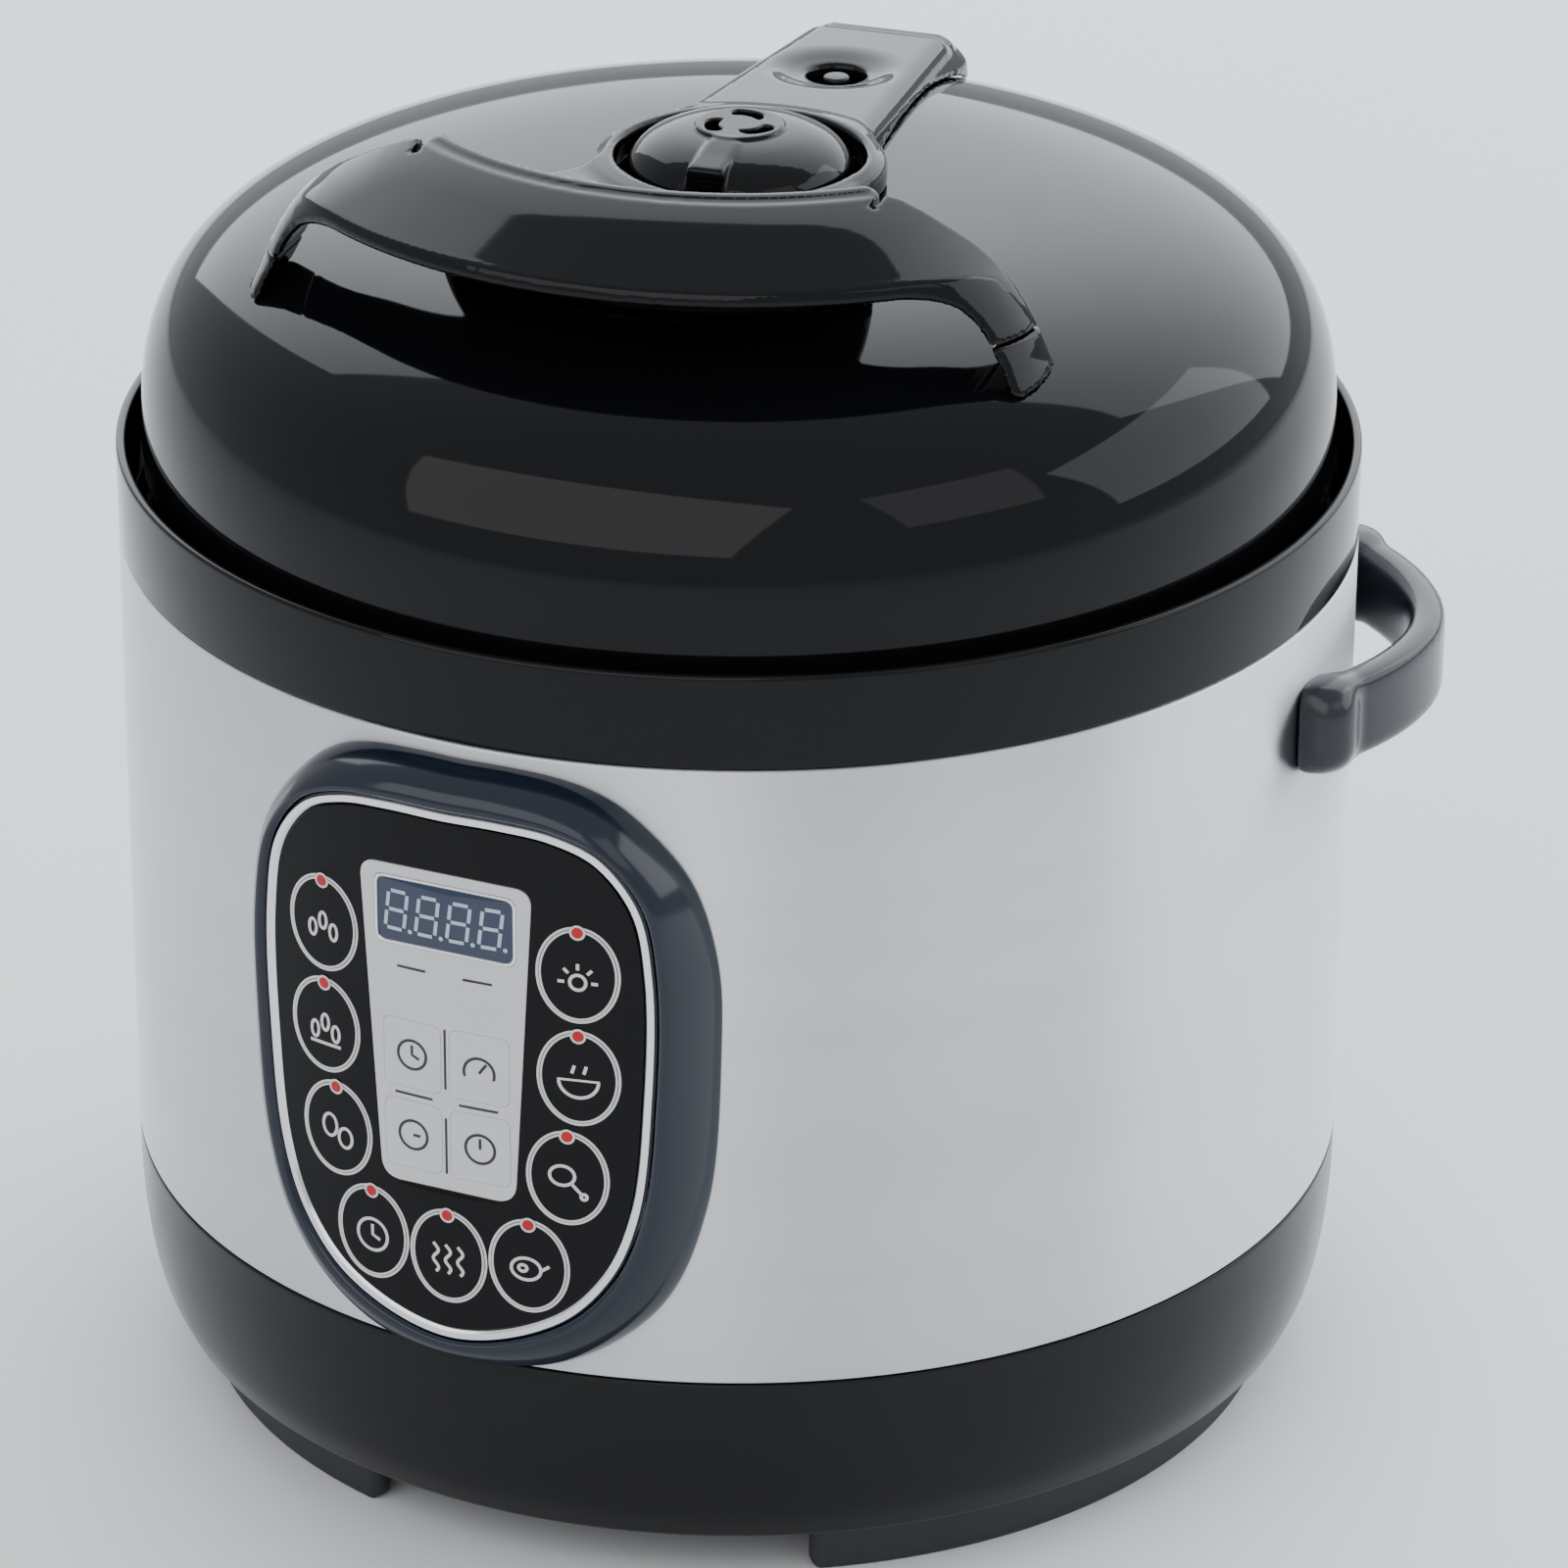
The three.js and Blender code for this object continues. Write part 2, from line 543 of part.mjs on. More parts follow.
const RACK = { r: 80.2, z: 161.4, wire: 1.1 };
function sealRack() {
  const section = [];
  for (let a = 0; a < 360; a += 90) {
    section.push([RACK.r + RACK.wire * Math.cos(rad(a)), RACK.z + RACK.wire * Math.sin(rad(a))]);
  }
  return turned(section);
}
add('seal_rack', sealRack(), LOOK.brightSteel);

const PIPE_R = 4.2;
function innerLid() {
  const [skirtIn, skirtOut] = SKIRT_R;
  const under = INNER_LID_Z - INNER_LID_WALL;
  const seatZ = 166.4;
  const hole = PIPE_R + 0.5;
  const section = [[hole, INNER_LID_Z], [59, INNER_LID_Z], [79.6, seatZ + 3], [82, seatZ], [skirtOut, seatZ],
    [skirtOut, SKIRT_BOTTOM_Z], [skirtIn, SKIRT_BOTTOM_Z], [skirtIn, seatZ - INNER_LID_WALL],
    [80.6, seatZ - INNER_LID_WALL], [58.2, under], [hole, under]];
  let solid = toSolid(turned(section));
  const lugTop = SKIRT_BOTTOM_Z + LUG_THICK;
  for (const lug of lugRing(93.6, skirtIn + 0.8, SKIRT_BOTTOM_Z, lugTop, 0)) solid = solid.add(lug);
  const floatHole = disc(3.4, under - 5, INNER_LID_Z + 5, 12).translate(0, FLOAT_Y, 0);
  return toGeometry(solid.subtract(toSolid(floatHole)));
}
addLid('inner_lid', innerLid(), LOOK.brightSteel);

// ---------- lid: cover ----------
const DOME_FLAT = 3.783;
const DOME_RISE = 3.176;
function domePoint(t, shrink) {
  const r = (LID_R - shrink) * Math.cos(t) ** (2 / DOME_FLAT);
  return [r, LID_EDGE_Z + (LID_TOP_Z - LID_EDGE_Z - shrink) * Math.sin(t) ** (2 / DOME_RISE)];
}

function domeProfile(shrink, steps) {
  const points = [];
  for (let i = 0; i <= steps; i += 1) {
    const t = (Math.PI / 2) * (i / steps) ** 1.25;
    points.push(i === steps ? [0, LID_TOP_Z - shrink] : domePoint(t, shrink));
  }
  return points;
}

function lidCover() {
  const steps = 7;
  const outer = domeProfile(0, steps);
  const inner = domeProfile(LID_WALL, steps).reverse();
  const lowZ = 167.2;
  const shell = turned([...inner, [LID_R - LID_WALL, lowZ], [LID_R - 1, lowZ], ...outer]);
  const pipeHole = disc(9, 200, 230, 14);
  const floatHole = disc(5.6, 200, 230, 12).translate(0, FLOAT_Y, 0);
  return toGeometry(toSolid(shell).subtract(toSolid(pipeHole)).subtract(toSolid(floatHole)));
}
addLid('lid_cover', lidCover(), LOOK.glossBlack);

// ---------- lid: handle ----------
function domeBlock(clearance) {
  const steps = 7;
  const scale = (LID_R + clearance) / LID_R;
  const profile = domeProfile(0, steps).map(([r, z]) => [r * scale, z + clearance]);
  return toSolid(turned([[0, 160], [LID_R * scale, 160], ...profile]));
}

// The bridge is the arch seen from the front, kept between the strap's top and underside.
function bridge() {
  const mirrored = (half) => polygon([...half.map(([x, z]) => [-x, z]), ...half.slice().reverse()]);
  const arch = mirrored([[75, 190], [74, 197], [72, 204], [69.2, 210], [66.3, 216], [62.5, 222], [57, 228],
    [50, 232.5], [45, 235.6], [38, 237.5]]);
  const opening = mirrored([[67.5, 190], [66, 205], [64, 210], [62, 214], [60, 218], [57, 221.6], [51, 225.4],
    [42, 231]]);
  const [back, front] = STRAP_R;
  const top = turned([[back, 229], [70, 204], [70, 190], [89.5, 190], [88.6, 205], [85.6, 212], [83.6, 219],
    [front, 224.8], [front - 1, 227.4], [back + 5, STRAP_TOP_Z - 0.4], [back + 1, STRAP_TOP_Z]]);
  const under = turned([[back - 8, 190], [95, 190], [95, 224.6], [front - 3, 224.6], [back + 4, 231.4],
    [back - 8, 231.4]]);
  const outside = toSolid(frontView(arch, -95, SHOULDER_Y)).intersect(toSolid(top));
  const inside = toSolid(frontView(opening, -95, -20)).intersect(toSolid(under));
  return outside.subtract(inside);
}

// The web carries the strap back to the spine round the knob's well.
function web() {
  const section = turned([[20, 212], [STRAP_R[0] + 1.6, 212], [STRAP_R[0] + 1.6, 235.6], [STRAP_R[0], 235.8],
    [48, 226], [36, 222], [20, SPINE_TOP_Z]]);
  const plan = polygon([[-16, 4], [-25, -8], [-38.5, -46], [-38.5, -60], [38.5, -60], [38.5, -46], [25,
    -8], [16, 4]]);
  return toSolid(section).intersect(toSolid(raised(plan, 200, 240)));
}

function spine() {
  const [start, stop, drop] = SPINE_DROP;
  const side = polygon([[-4, 212], [-4, SPINE_TOP_Z], [start, SPINE_TOP_Z], [stop, SPINE_TOP_Z - drop],
    [SPINE_END_Y - 8, 216], [SPINE_END_Y - 2, 211.4], [SPINE_END_Y, 205], [SPINE_END_Y - 3, 199], [40, 205]]);
  const bar = new THREE.ExtrudeGeometry(side, { depth: 2 * SPINE_HALF, bevelEnabled: false });
  bar.translate(0, 0, -SPINE_HALF).rotateX(Math.PI / 2).rotateZ(Math.PI / 2);
  return toSolid(bar);
}

function handleWhole() {
  const pad = toSolid(disc(25, 212, SPINE_TOP_Z, 28));
  const well = toSolid(disc(WELL_R, 190, 240, 28));
  const [start, stop, drop] = SPINE_DROP;
  const topAtFloat = SPINE_TOP_Z - (drop * (FLOAT_Y - start)) / (stop - start);
  const dish = toSolid(disc(11, topAtFloat - 1.4, topAtFloat + 5, 16).scale(0.8, 1, 1).translate(0,
    FLOAT_Y, 0));
  const floatHole = toSolid(disc(5.2, 190, 240, 12).translate(0, FLOAT_Y, 0));
  return bridge().add(web()).add(spine()).add(pad).subtract(well).subtract(dish).subtract(floatHole)
    .subtract(domeBlock(GAP));
}

const whole = handleWhole();
const belowSplit = (side) => toSolid(block(40, 100, 40, side * 62, -55, FOOT_SPLIT_Z - 20 - GAP / 2));
const aboveFeet = [-1, 1].map((side) => toSolid(block(40, 100, 40, side * 62, -55,
  FOOT_SPLIT_Z - 20 + GAP / 2)));
addLid('lid_handle', toGeometry(whole.subtract(aboveFeet[0]).subtract(aboveFeet[1])), LOOK.glossBlack);
addLid('handle_foot_right', toGeometry(whole.intersect(belowSplit(1))), LOOK.glossBlack);
addLid('handle_foot_left', toGeometry(whole.intersect(belowSplit(-1))), LOOK.glossBlack);

// ---------- lid: valves ----------
const WEIGHT_R = 7.6;
addLid('exhaust_pipe', turned([[1.5, 189], [PIPE_R, 189], [PIPE_R, 220.2], [1.5, 220.2]], 14),
  LOOK.brightSteel);
const NUT_HOLE_R = (PIPE_R + GAP) / Math.cos(Math.PI / 6);
addLid('pipe_nut', turned([[NUT_HOLE_R, 198.4], [8, 198.4], [8, 202.4], [NUT_HOLE_R, 202.4]], 6),
  LOOK.brightSteel);

function antiBlockCap() {
  const cup = turned([[0, 183], [9, 183], [11, 186], [11, 195.8], [9.6, 195.8], [9.6, 184.6], [0, 184.6]],
    18);
  let solid = toSolid(cup);
  for (let i = 0; i < 6; i += 1) {
    solid = solid.subtract(toSolid(block(2.4, 8, 5, 0, 11, 190.5).rotateZ((i * Math.PI) / 3)));
  }
  return toGeometry(solid);
}
addLid('anti_block_cap', antiBlockCap(), LOOK.brightSteel);

addLid('float_valve', turned([[0, 183.4], [2.4, 183.4], [2.4, 188.4], [5, 188.4], [5, 190.2], [2.4, 190.2],
  [2.4, 217.2], [0, 217.2]], 12).translate(0, FLOAT_Y, 0), LOOK.redSilicone);
addLid('float_seal', turned([[2.75, 184.6], [5.4, 184.6], [6.4, 188], [2.75, 188]], 12).translate(0,
  FLOAT_Y, 0),
  LOOK.silicone);

addLid('valve_weight', turned([[0, 223.8], [WEIGHT_R, 223.8], [WEIGHT_R, 216.8], [4.7, 216.8], [4.7, 220.7],
  [0, 220.7]], 16), LOOK.brightSteel);

function valveKnob() {
  const [low, high] = KNOB_Z;
  const wall = 1.8;
  const section = [[0, high], [7.6, high], [13, high - 1.2], [17.2, high - 3.4], [KNOB_R, high - 7],
    [KNOB_R - 0.6, low],
    [KNOB_R - 0.6 - wall, low], [KNOB_R - wall, high - 7], [16, high - 4.6], [12.4, high - 3], [0,
      high - wall]];
  let solid = toSolid(turned(section, 24));
  for (let i = 0; i < 3; i += 1) {
    const slot = raised(ringSector(3.2, 6.6, 60 + i * 120, 34), high - 5, high + 5, 2);
    solid = solid.subtract(toSolid(slot));
  }
  const tab = block(5.4, 13, 6, 0, -13.2, high - 3.6);
  const hollow = toSolid(disc(15.6, 210, high - wall, 14));
  return toGeometry(solid.add(toSolid(tab).subtract(hollow)));
}
addLid('valve_knob', valveKnob(), LOOK.glossBlack);

cooker.add(lid);
export default cooker;
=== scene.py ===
"""Looks of an electric pressure cooker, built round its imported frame.

Blender works in metres; the sizes below are millimetres and turn into metres when a piece is made.
+Z is up, the control panel faces -Y and z = 0 is the worktop.
"""

import logging
import math
from dataclasses import dataclass, field
from enum import Enum
from typing import Callable, Iterable, Sequence

import bmesh
import bpy
import numpy as np
from mathutils import Matrix, Vector
from mathutils.geometry import delaunay_2d_cdt


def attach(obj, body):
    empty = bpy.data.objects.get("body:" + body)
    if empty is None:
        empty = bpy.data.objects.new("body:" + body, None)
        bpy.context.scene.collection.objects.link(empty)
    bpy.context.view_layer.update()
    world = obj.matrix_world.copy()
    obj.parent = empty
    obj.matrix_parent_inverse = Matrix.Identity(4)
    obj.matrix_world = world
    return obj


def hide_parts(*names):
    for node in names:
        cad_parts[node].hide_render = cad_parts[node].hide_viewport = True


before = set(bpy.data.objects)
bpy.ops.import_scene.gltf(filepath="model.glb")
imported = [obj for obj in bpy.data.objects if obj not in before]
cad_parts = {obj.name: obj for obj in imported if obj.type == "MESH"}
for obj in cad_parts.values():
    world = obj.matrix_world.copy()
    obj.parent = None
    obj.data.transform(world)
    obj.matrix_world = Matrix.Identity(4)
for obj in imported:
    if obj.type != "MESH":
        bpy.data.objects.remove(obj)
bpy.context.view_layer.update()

log = logging.getLogger("pressure_cooker")

MM = 0.001
SMOOTHING = (0.5, -0.53)
COAT_ROUGHNESS = 0.04
MIRROR = 0.02
NOISE_LOW, NOISE_HIGH = 0.3, 0.7
SMOOTH_TURN = 168
QUARTER_TURN = 0.25
LID_TURN = 5.8
PANEL_R = 115.5
Pair = tuple[float, float]
Colour = tuple[float, float, float]
Grid = np.ndarray


class Body(str, Enum):
    """Rigid bodies of the frame that pieces ride on."""

    BASE = "base"
    CUP = "cup"
    POT = "pot"
    SEAL = "seal"
    LID = "lid"
    FLOAT = "float"
    WEIGHT = "weight"
    KNOB = "knob"


# ---------------------------------------------------------------- finishes


@dataclass(frozen=True)
class Finish:
    """One surface finish: colour with slight variation, uneven gloss and a fine relief."""

    name: str
    colour: Colour
    roughness: float
    metallic: float = 0.0
    variation: float = 0.08
    gloss_spread: float = 0.04
    patch: float = 30.0
    grain: float = 0.6
    relief: float = 0.02
    stretch: tuple[float, float, float] = (1.0, 1.0, 1.0)
    coat: float = 0.0
    ior: float = 1.45
    anisotropy: float = 0.0
    transmission: float = 0.0
    specular: float = 0.5

    def material(self) -> bpy.types.Material:
        """Makes the material, once for each finish.

        Returns:
            The new material, or the one made before.
        """
        known = bpy.data.materials.get(self.name)
        if known:
            return known
        material = bpy.data.materials.new(self.name)
        material.use_nodes = True
        tree = material.node_tree
        shader = tree.nodes["Principled BSDF"]
        for socket, value in (("Metallic", self.metallic), ("IOR", self.ior), ("Coat Weight", self.coat),
                              ("Coat Roughness", COAT_ROUGHNESS), ("Anisotropic", self.anisotropy),
                              ("Transmission Weight", self.transmission),
                              ("Specular IOR Level", self.specular)):
            shader.inputs[socket].default_value = value
        if self.anisotropy:
            around = tree.nodes.new("ShaderNodeTangent")
            around.direction_type = "RADIAL"
            around.axis = "Z"
            shader.inputs["Anisotropic Rotation"].default_value = QUARTER_TURN
            tree.links.new(around.outputs["Tangent"], shader.inputs["Tangent"])
        self._colour(tree, shader)
        self._surface(tree, shader)
        return material

    def _noise(self, tree: bpy.types.NodeTree, size: float, detail: float) -> bpy.types.NodeSocket:
        """Adds a noise to a material.

        Args:
            tree: The material's node tree.
            size: Width of a blotch in millimetres.
            detail: Layers of finer noise.

        Returns:
            The noise value's socket.
        """
        place = tree.nodes.new("ShaderNodeTexCoord")
        scale = tree.nodes.new("ShaderNodeMapping")
        scale.inputs["Scale"].default_value = self.stretch
        noise = tree.nodes.new("ShaderNodeTexNoise")
        noise.inputs["Scale"].default_value = 1000.0 / size
        noise.inputs["Detail"].default_value = detail
        tree.links.new(place.outputs["Object"], scale.inputs["Vector"])
        tree.links.new(scale.outputs["Vector"], noise.inputs["Vector"])
        return noise.outputs["Fac"]

    def _colour(self, tree: bpy.types.NodeTree, shader: bpy.types.ShaderNode) -> None:
        """Varies the colour gently over the surface.

        Args:
            tree: The material's node tree.
            shader: Its Principled shader.
        """
        ramp = tree.nodes.new("ShaderNodeValToRGB")
        ramp.color_ramp.elements[0].position = NOISE_LOW
        ramp.color_ramp.elements[1].position = NOISE_HIGH
        for element, factor in zip(ramp.color_ramp.elements, (1 - self.variation, 1 + self.variation)):
            element.color = (*(min(1.0, c * factor) for c in self.colour), 1.0)
        tree.links.new(self._noise(tree, self.patch, 3.0), ramp.inputs["Fac"])
        tree.links.new(ramp.outputs["Color"], shader.inputs["Base Color"])

    def _surface(self, tree: bpy.types.NodeTree, shader: bpy.types.ShaderNode) -> None:
        """Varies the gloss and adds the relief of the tool or mould.

        Args:
            tree: The material's node tree.
            shader: Its Principled shader.
        """
        spread = tree.nodes.new("ShaderNodeMapRange")
        for socket, value in (("From Min", NOISE_LOW), ("From Max", NOISE_HIGH),
                              ("To Min", max(MIRROR, self.roughness - self.gloss_spread)),
                              ("To Max", self.roughness + self.gloss_spread)):
            spread.inputs[socket].default_value = value
        fine = self._noise(tree, self.grain, 2.0)
        tree.links.new(self._noise(tree, self.patch * 0.6, 4.0), spread.inputs["Value"])
        tree.links.new(spread.outputs["Result"], shader.inputs["Roughness"])
        bump = tree.nodes.new("ShaderNodeBump")
        bump.inputs["Strength"].default_value = min(1.0, self.relief * 10)
        bump.inputs["Distance"].default_value = self.relief * MM
        tree.links.new(fine, bump.inputs["Height"])
        tree.links.new(bump.outputs["Normal"], shader.inputs["Normal"])


GLOSS_BLACK = Finish("gloss_black_plastic", (0.003, 0.0033, 0.004), 0.05, gloss_spread=0.015, patch=60,
                     grain=2.5,
                     relief=0.002, specular=0.24)
SATIN_BLACK = Finish("satin_black_plastic", (0.007, 0.0073, 0.008), 0.2, gloss_spread=0.04, grain=0.5,
                     relief=0.012,
                     specular=0.24)
SKIRT_GREY = Finish("textured_dark_grey", (0.02, 0.022, 0.026), 0.5, grain=0.45, relief=0.06)
HANDLE_GREY = Finish("handle_dark_grey", (0.014, 0.018, 0.024), 0.2, gloss_spread=0.03, grain=1.2,
                     relief=0.004)
NAVY = Finish("navy_gloss_plastic", (0.006, 0.011, 0.021), 0.12, gloss_spread=0.02, patch=50, grain=2.0,
              relief=0.003)
SLEEVE_STEEL = Finish("brushed_steel_sleeve", (0.72, 0.735, 0.76), 0.4, 1.0, variation=0.03, patch=90,
                      grain=0.9, relief=0.005, stretch=(0.06, 0.06, 3.0), anisotropy=0.97)
BRIGHT_STEEL = Finish("spun_bright_steel", (0.68, 0.69, 0.70), 0.16, 1.0, variation=0.03, patch=50, grain=0.8,
                      relief=0.005, stretch=(0.1, 0.1, 2.0), anisotropy=0.3)
ALUMINIUM = Finish("cast_aluminium", (0.56, 0.57, 0.58), 0.42, 1.0, variation=0.06, patch=12, grain=0.5,
                   relief=0.03)
CHROME = Finish("chromed_trim", (0.74, 0.75, 0.77), 0.12, 1.0, variation=0.02, gloss_spread=0.02,
                relief=0.001)
BRASS = Finish("brass_pin", (0.62, 0.45, 0.18), 0.28, 1.0, patch=6, relief=0.004)
FASCIA_BLACK = Finish("panel_film_black", (0.002, 0.002, 0.0023), 0.2, gloss_spread=0.015, patch=40,
                      grain=0.35,
                      relief=0.002, specular=0.2)
CARD_GREY = Finish("printed_card_grey", (0.56, 0.562, 0.57), 0.35, variation=0.015, patch=25, grain=0.3,
                   relief=0.003, ior=1.35)
PRINT_LIGHT = Finish("light_grey_ink", (0.58, 0.58, 0.58), 0.4, variation=0.03, patch=8, grain=0.3,
                     relief=0.004)
PRINT_DARK = Finish("dark_ink", (0.02, 0.02, 0.022), 0.4, variation=0.05, patch=8, grain=0.3, relief=0.004)
LAMP_RED = Finish("red_lamp", (0.42, 0.002, 0.004), 0.3, variation=0.05, patch=3, grain=0.3, relief=0.003)
LENS_BLUE = Finish("display_lens_blue", (0.010, 0.022, 0.055), 0.08, gloss_spread=0.02, patch=20, grain=1.5,
                   relief=0.001, coat=0.4)
SEGMENT_GREY = Finish("display_segment", (0.42, 0.48, 0.58), 0.3, variation=0.04, patch=4, grain=0.4,
                      relief=0.003)
SILICONE = Finish("milky_silicone", (0.62, 0.62, 0.58), 0.5, variation=0.04, patch=15, grain=0.7, relief=0.02)
BOARD_GREEN = Finish("circuit_board", (0.012, 0.09, 0.035), 0.4, variation=0.15, patch=5, grain=0.6,
                     relief=0.03)
COMPONENT = Finish("moulded_component", (0.02, 0.02, 0.022), 0.5, variation=0.1, patch=8, grain=0.5,
                   relief=0.03)
SMOKE = Finish("smoky_cup_plastic", (0.05, 0.055, 0.06), 0.14, gloss_spread=0.03, patch=20, grain=1.0,
               relief=0.004, transmission=0.35)
FLOOR = Finish("pale_floor", (0.86, 0.865, 0.875), 0.65, variation=0.01, gloss_spread=0.03, patch=400,
               grain=4,
               relief=0.01, ior=1.3)


# ---------------------------------------------------------------- mesh making


@dataclass
class Solid:
    """Points, in millimetres, and faces of a piece before it becomes a Blender object."""

    points: list[Vector] = field(default_factory=list)
    faces: list[tuple[int, ...]] = field(default_factory=list)

    def join(self, other: "Solid") -> "Solid":
        """Adds another solid to this one.

        Args:
            other: The solid to add.

        Returns:
            This solid.
        """
        start = len(self.points)
        self.points += other.points
        self.faces += [tuple(i + start for i in face) for face in other.faces]
        return self

    def turn(self, degrees: float) -> "Solid":
        """Turns the solid about the vertical axis.

        Args:
            degrees: Turn, anticlockwise from above.

        Returns:
            This solid.
        """
        spin = Matrix.Rotation(math.radians(degrees), 3, "Z")
        self.points = [spin @ p for p in self.points]
        return self

    def move(self, x: float, y: float, z: float) -> "Solid":
        """Moves the solid and returns it."""
        self.points = [p + Vector((x, y, z)) for p in self.points]
        return self

    def make(self, name: str, sharp: float = 34.0) -> bpy.types.Object:
        """Makes the Blender object.

        Args:
            name: The piece's name.
            sharp: Edges that bend more than this many degrees stay crisp.

        Returns:
            The object, linked to the scene, its normals facing out.
        """
        mesh = bpy.data.meshes.new(name)
        mesh.from_pydata([p * MM for p in self.points], [], self.faces)
        body = bmesh.new()
        body.from_mesh(mesh)
        bmesh.ops.remove_doubles(body, verts=body.verts, dist=1e-6)
        bmesh.ops.recalc_face_normals(body, faces=body.faces)
        body.to_mesh(mesh)
        body.free()
        soften(mesh, sharp)
        piece = bpy.data.objects.new(name, mesh)
        bpy.context.scene.collection.objects.link(piece)
        return piece


def soften(mesh: bpy.types.Mesh, sharp: float) -> None:
    """Shades a mesh smooth but for edges that bend more than sharp degrees."""
    mesh.shade_smooth()
    mesh.set_sharp_from_angle(angle=math.radians(sharp))


def dress(piece: bpy.types.Object, finish: Finish) -> None:
    """Gives a piece a single finish."""
    piece.data.materials.clear()
    piece.data.materials.append(finish.material())


def fit(piece: bpy.types.Object, body: Body | str, finish: Finish, slot: str,
        *nodes: str) -> bpy.types.Object:
    """Dresses a piece, hangs it on its body and hides the nodes that it stands for.

    Args:
        piece: The new object.
        body: The body that it moves with.
        finish: Its surface.
        slot: The record's material slot; not used.
        *nodes: The plain nodes that it replaces.

    Returns:
        The piece.
    """
    dress(piece, finish)
    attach(piece, body.value if isinstance(body, Body) else body)
    if nodes:
        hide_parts(*nodes)
    log.info("%s: %d faces on %s", piece.name, len(piece.data.polygons), body)
    return piece


def filleted(corners: Sequence[tuple[float, ...]], closed: bool = True, steps: int = 5) -> list[Pair]:
    """Rounds the corners of a section.

    Args:
        corners: (r, z) or (r, z, fillet) for each corner, in order.
        closed: Whether the last corner joins the first.
        steps: Points along each rounded corner, less one.

    Returns:
        The section's points.
    """
    points: list[Pair] = []
    count = len(corners)
    for i, corner in enumerate(corners):
        here = np.array(corner[:2])
        size = corner[2] if len(corner) > 2 else 0.0
        if not size or (not closed and i in (0, count - 1)):
            points.append(tuple(here))
            continue
        before = np.array(corners[i - 1][:2]) - here
        after = np.array(corners[(i + 1) % count][:2]) - here
        lengths = np.linalg.norm(before), np.linalg.norm(after)
        reach = min(size, 0.48 * lengths[0], 0.48 * lengths[1])
        start, end = here + before / lengths[0] * reach, here + after / lengths[1] * reach
        for k in range(steps + 1):
            t = k / steps
            points.append(tuple((1 - t) ** 2 * start + 2 * t * (1 - t) * here + t * t * end))
    return points


def revolved(section: Sequence[Pair], closed: bool = True, segments: int = SMOOTH_TURN) -> Solid:
    """Turns a section of (r, z) points about the vertical axis; an open one starts and ends on the axis.

    Args:
        section: The (r, z) points.
        closed: Whether the last point joins the first.
        segments: Faces in one turn.

    Returns:
        The turned solid.
    """
    solid = Solid()
    rows: list[list[int]] = []
    for r, z in section:
        if r < 1e-6:
            solid.points.append(Vector((0, 0, z)))
            rows.append([len(solid.points) - 1] * segments)
            continue
        start = len(solid.points)
        for k in range(segments):
            a = 2 * math.pi * k / segments
            solid.points.append(Vector((r * math.sin(a), -r * math.cos(a), z)))
        rows.append(list(range(start, start + segments)))
    pairs = list(zip(rows, rows[1:])) + ([(rows[-1], rows[0])] if closed else [])
    for low, high in pairs:
        for k in range(segments):
            n = (k + 1) % segments
            corners = dict.fromkeys((low[k], low[n], high[n], high[k]))
            if len(corners) > 2:
                solid.faces.append(tuple(corners))
    return solid


def lofted(rings: Sequence[Sequence[Vector]], caps: bool = True, loop: bool = False) -> Solid:
    """Skins a row of closed rings that have equal numbers of points.

    Args:
        rings: The rings, in order.
        caps: Whether to close the first and last ring.
        loop: Whether the last ring joins the first.

    Returns:
        The solid.
    """
    count = len(rings[0])
    solid = Solid([Vector(p) for ring in rings for p in ring])
    spans = len(rings) if loop else len(rings) - 1
    for i in range(spans):
        a, b = i * count, ((i + 1) % len(rings)) * count
        solid.faces += [(a + k, a + (k + 1) % count, b + (k + 1) % count, b + k) for k in range(count)]
    if caps and not loop:
        last = (len(rings) - 1) * count
        solid.faces += [tuple(reversed(range(count))), tuple(range(last, last + count))]
    return solid


def smooth_path(knots: Sequence[Sequence[float]], count: int, closed: bool = False) -> Grid:
    """Centripetal Catmull-Rom curve through the knots, as evenly spaced points.

    Args:
        knots: Points of any dimension.
        count: How many points to return.
        closed: Whether the curve returns to its first knot.

    Returns:
        An array of count points.
    """
    p = np.array(knots, float)
    p = np.vstack([p[-1], p, p[:2]]) if closed else np.vstack([2 * p[0] - p[1], p, 2 * p[-1] - p[-2]])
    dense = []
    for a, b, c, d in zip(p, p[1:], p[2:], p[3:]):
        t = np.cumsum([0.0] + [max(1e-6, float(np.linalg.norm(v - u))) ** 0.5 for u,
                               v in ((a, b), (b, c), (c, d))])
        for s in np.linspace(t[1], t[2], 24, endpoint=False):
            a1 = (t[1] - s) / (t[1] - t[0]) * a + (s - t[0]) / (t[1] - t[0]) * b
            a2 = (t[2] - s) / (t[2] - t[1]) * b + (s - t[1]) / (t[2] - t[1]) * c
            a3 = (t[3] - s) / (t[3] - t[2]) * c + (s - t[2]) / (t[3] - t[2]) * d
            b1 = (t[2] - s) / (t[2] - t[0]) * a1 + (s - t[0]) / (t[2] - t[0]) * a2
            b2 = (t[3] - s) / (t[3] - t[1]) * a2 + (s - t[1]) / (t[3] - t[1]) * a3
            dense.append((t[2] - s) / (t[2] - t[1]) * b1 + (s - t[1]) / (t[2] - t[1]) * b2)
    dense.append(dense[0] if closed else p[-2])
    dense = np.array(dense)
    length = np.concatenate([[0], np.cumsum(np.linalg.norm(np.diff(dense, axis=0), axis=1))])
    places = np.linspace(0, length[-1], count, endpoint=not closed)
    return np.stack([np.interp(places, length, dense[:, k]) for k in range(dense.shape[1])], axis=1)


